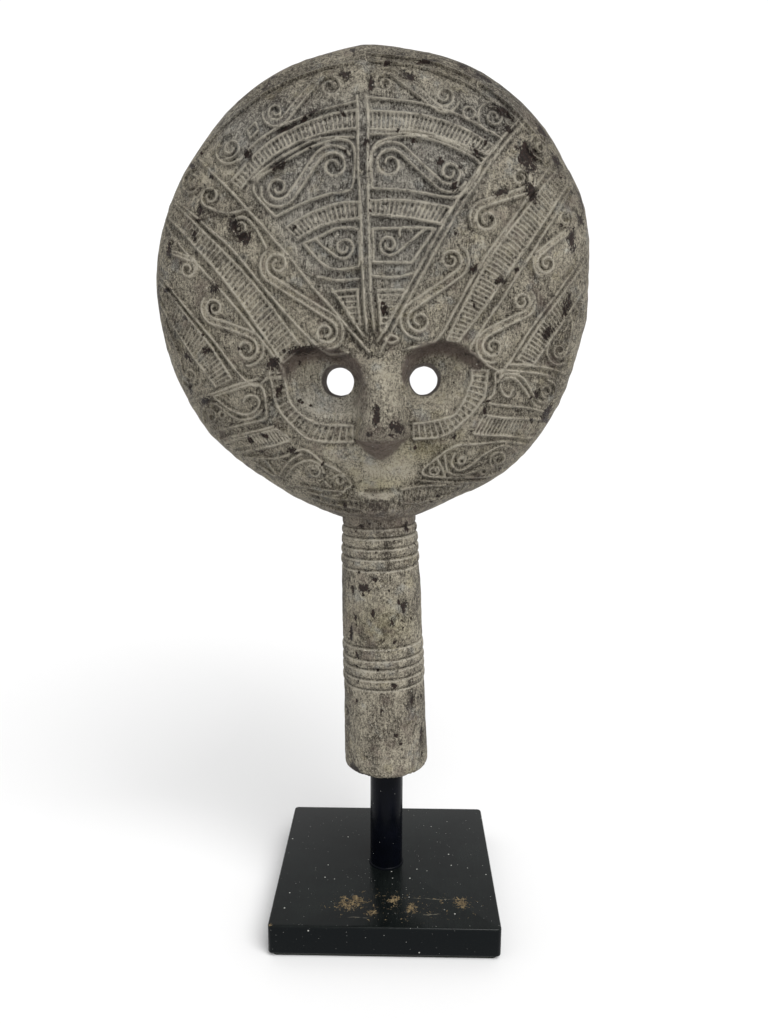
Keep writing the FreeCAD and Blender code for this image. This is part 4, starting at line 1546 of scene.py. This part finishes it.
class MASK_OT_finish_hardware(bpy.types.Operator):
    """Give the felt, bolt, washer and plug their finishes"""

    bl_idname = "mask.finish_hardware"
    bl_label = "Finish hardware"

    def execute(self, context):
        zinc, soft = zinc_plate(), felt()
        for node, material in (
            ("felt_pad", soft), ("base_washer", zinc), ("base_bolt", zinc), ("post_plug", zinc),
        ):
            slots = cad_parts[node].data.materials
            slots.clear()
            slots.append(material)
        return {"FINISHED"}


class MASK_OT_set_stage(bpy.types.Operator):
    """Set up the floor, the soft lights and the camera"""

    bl_idname = "mask.set_stage"
    bl_label = "Set stage"

    def execute(self, context):
        scene = context.scene
        deselect()
        bpy.ops.mesh.primitive_plane_add(size=60, location=(0, 20.0, 0))
        floor = context.object
        floor.name = floor.data.name = "studio_floor"
        bpy.ops.object.transform_apply(location=True, rotation=True, scale=True)
        pale = Finish("Studio floor", Roughness=0.9, Specular_IOR_Level=0.1)
        mottle = pale.noise(2.0, 2.0)
        pale.feed("Base Color", pale.mix(mottle * 0.2, scene.mask_colours.floor, linear(240, 240, 240)))
        floor.data.materials.append(pale.material)

        world = bpy.data.worlds.new("Soft studio")
        scene.world = world
        world.use_nodes = True
        nodes, links = world.node_tree.nodes, world.node_tree.links
        seen = nodes.new("ShaderNodeLightPath").outputs["Is Camera Ray"]
        strength = nodes.new("ShaderNodeMapRange")
        strength.inputs["To Min"].default_value, strength.inputs["To Max"].default_value = 0.6, 1.05
        links.new(seen, strength.inputs["Value"])
        links.new(strength.outputs[0], nodes["Background"].inputs["Strength"])
        nodes["Background"].inputs["Color"].default_value = (1, 1, 1, 1)
        self.lamp("Key softbox", (0.55, -0.8, 1.2), 2.3, 42)

        camera = bpy.data.objects.new("Camera", bpy.data.cameras.new("Camera"))
        scene.collection.objects.link(camera)
        camera.data.lens, camera.data.sensor_width = 30.23, 36.0
        camera.data.clip_start = 0.01
        aim = Euler((radians(79.97), 0, radians(1.06))).to_matrix() @ Matrix.Rotation(radians(0.21), 3, "Z")
        camera.matrix_world = Matrix.Translation((0.0080, -0.5691, 0.3789)) @ aim.to_4x4()
        scene.camera = camera
        scene.view_settings.view_transform = "Standard"
        return {"FINISHED"}

    def lamp(self, name, place, power, spread):
        """A broad soft light from one side, the same everywhere on the floor."""
        lamp = bpy.data.objects.new(name, bpy.data.lights.new(name, "SUN"))
        bpy.context.scene.collection.objects.link(lamp)
        lamp.data.energy, lamp.data.angle = power, radians(spread)
        lamp.location = place
        lamp.rotation_euler = Vector(place).to_track_quat("Z", "Y").to_euler()


STEPS = (
    MASK_OT_set_stage,
    MASK_OT_carve_head,
    MASK_OT_turn_neck,
    MASK_OT_build_base,
    MASK_OT_build_post,
    MASK_OT_finish_hardware,
)


class MASK_PT_panel(bpy.types.Panel):
    bl_idname = "MASK_PT_panel"
    bl_label = "Carved Mask"
    bl_space_type = "VIEW_3D"
    bl_region_type = "UI"
    bl_category = "Carved Mask"

    def draw(self, context):
        for step in STEPS:
            self.layout.operator(step.bl_idname)
        for group in settings():
            box = self.layout.box()
            for name in group.__annotations__:
                box.prop(group, name)


CLASSES = (MaskSizes, StandSizes, Colours, *STEPS, MASK_PT_panel)
GROUPS = {"mask_sizes": MaskSizes, "stand_sizes": StandSizes, "mask_colours": Colours}


def register():
    for item in CLASSES:
        bpy.utils.register_class(item)
    for name, group in GROUPS.items():
        setattr(bpy.types.Scene, name, PointerProperty(type=group))


def unregister():
    for name in GROUPS:
        delattr(bpy.types.Scene, name)
    for item in reversed(CLASSES):
        bpy.utils.unregister_class(item)


def main():
    register()
    for step in STEPS:
        group, name = step.bl_idname.split(".")
        getattr(getattr(bpy.ops, group), name)()
    deselect()


if __name__ == "__main__":
    main()
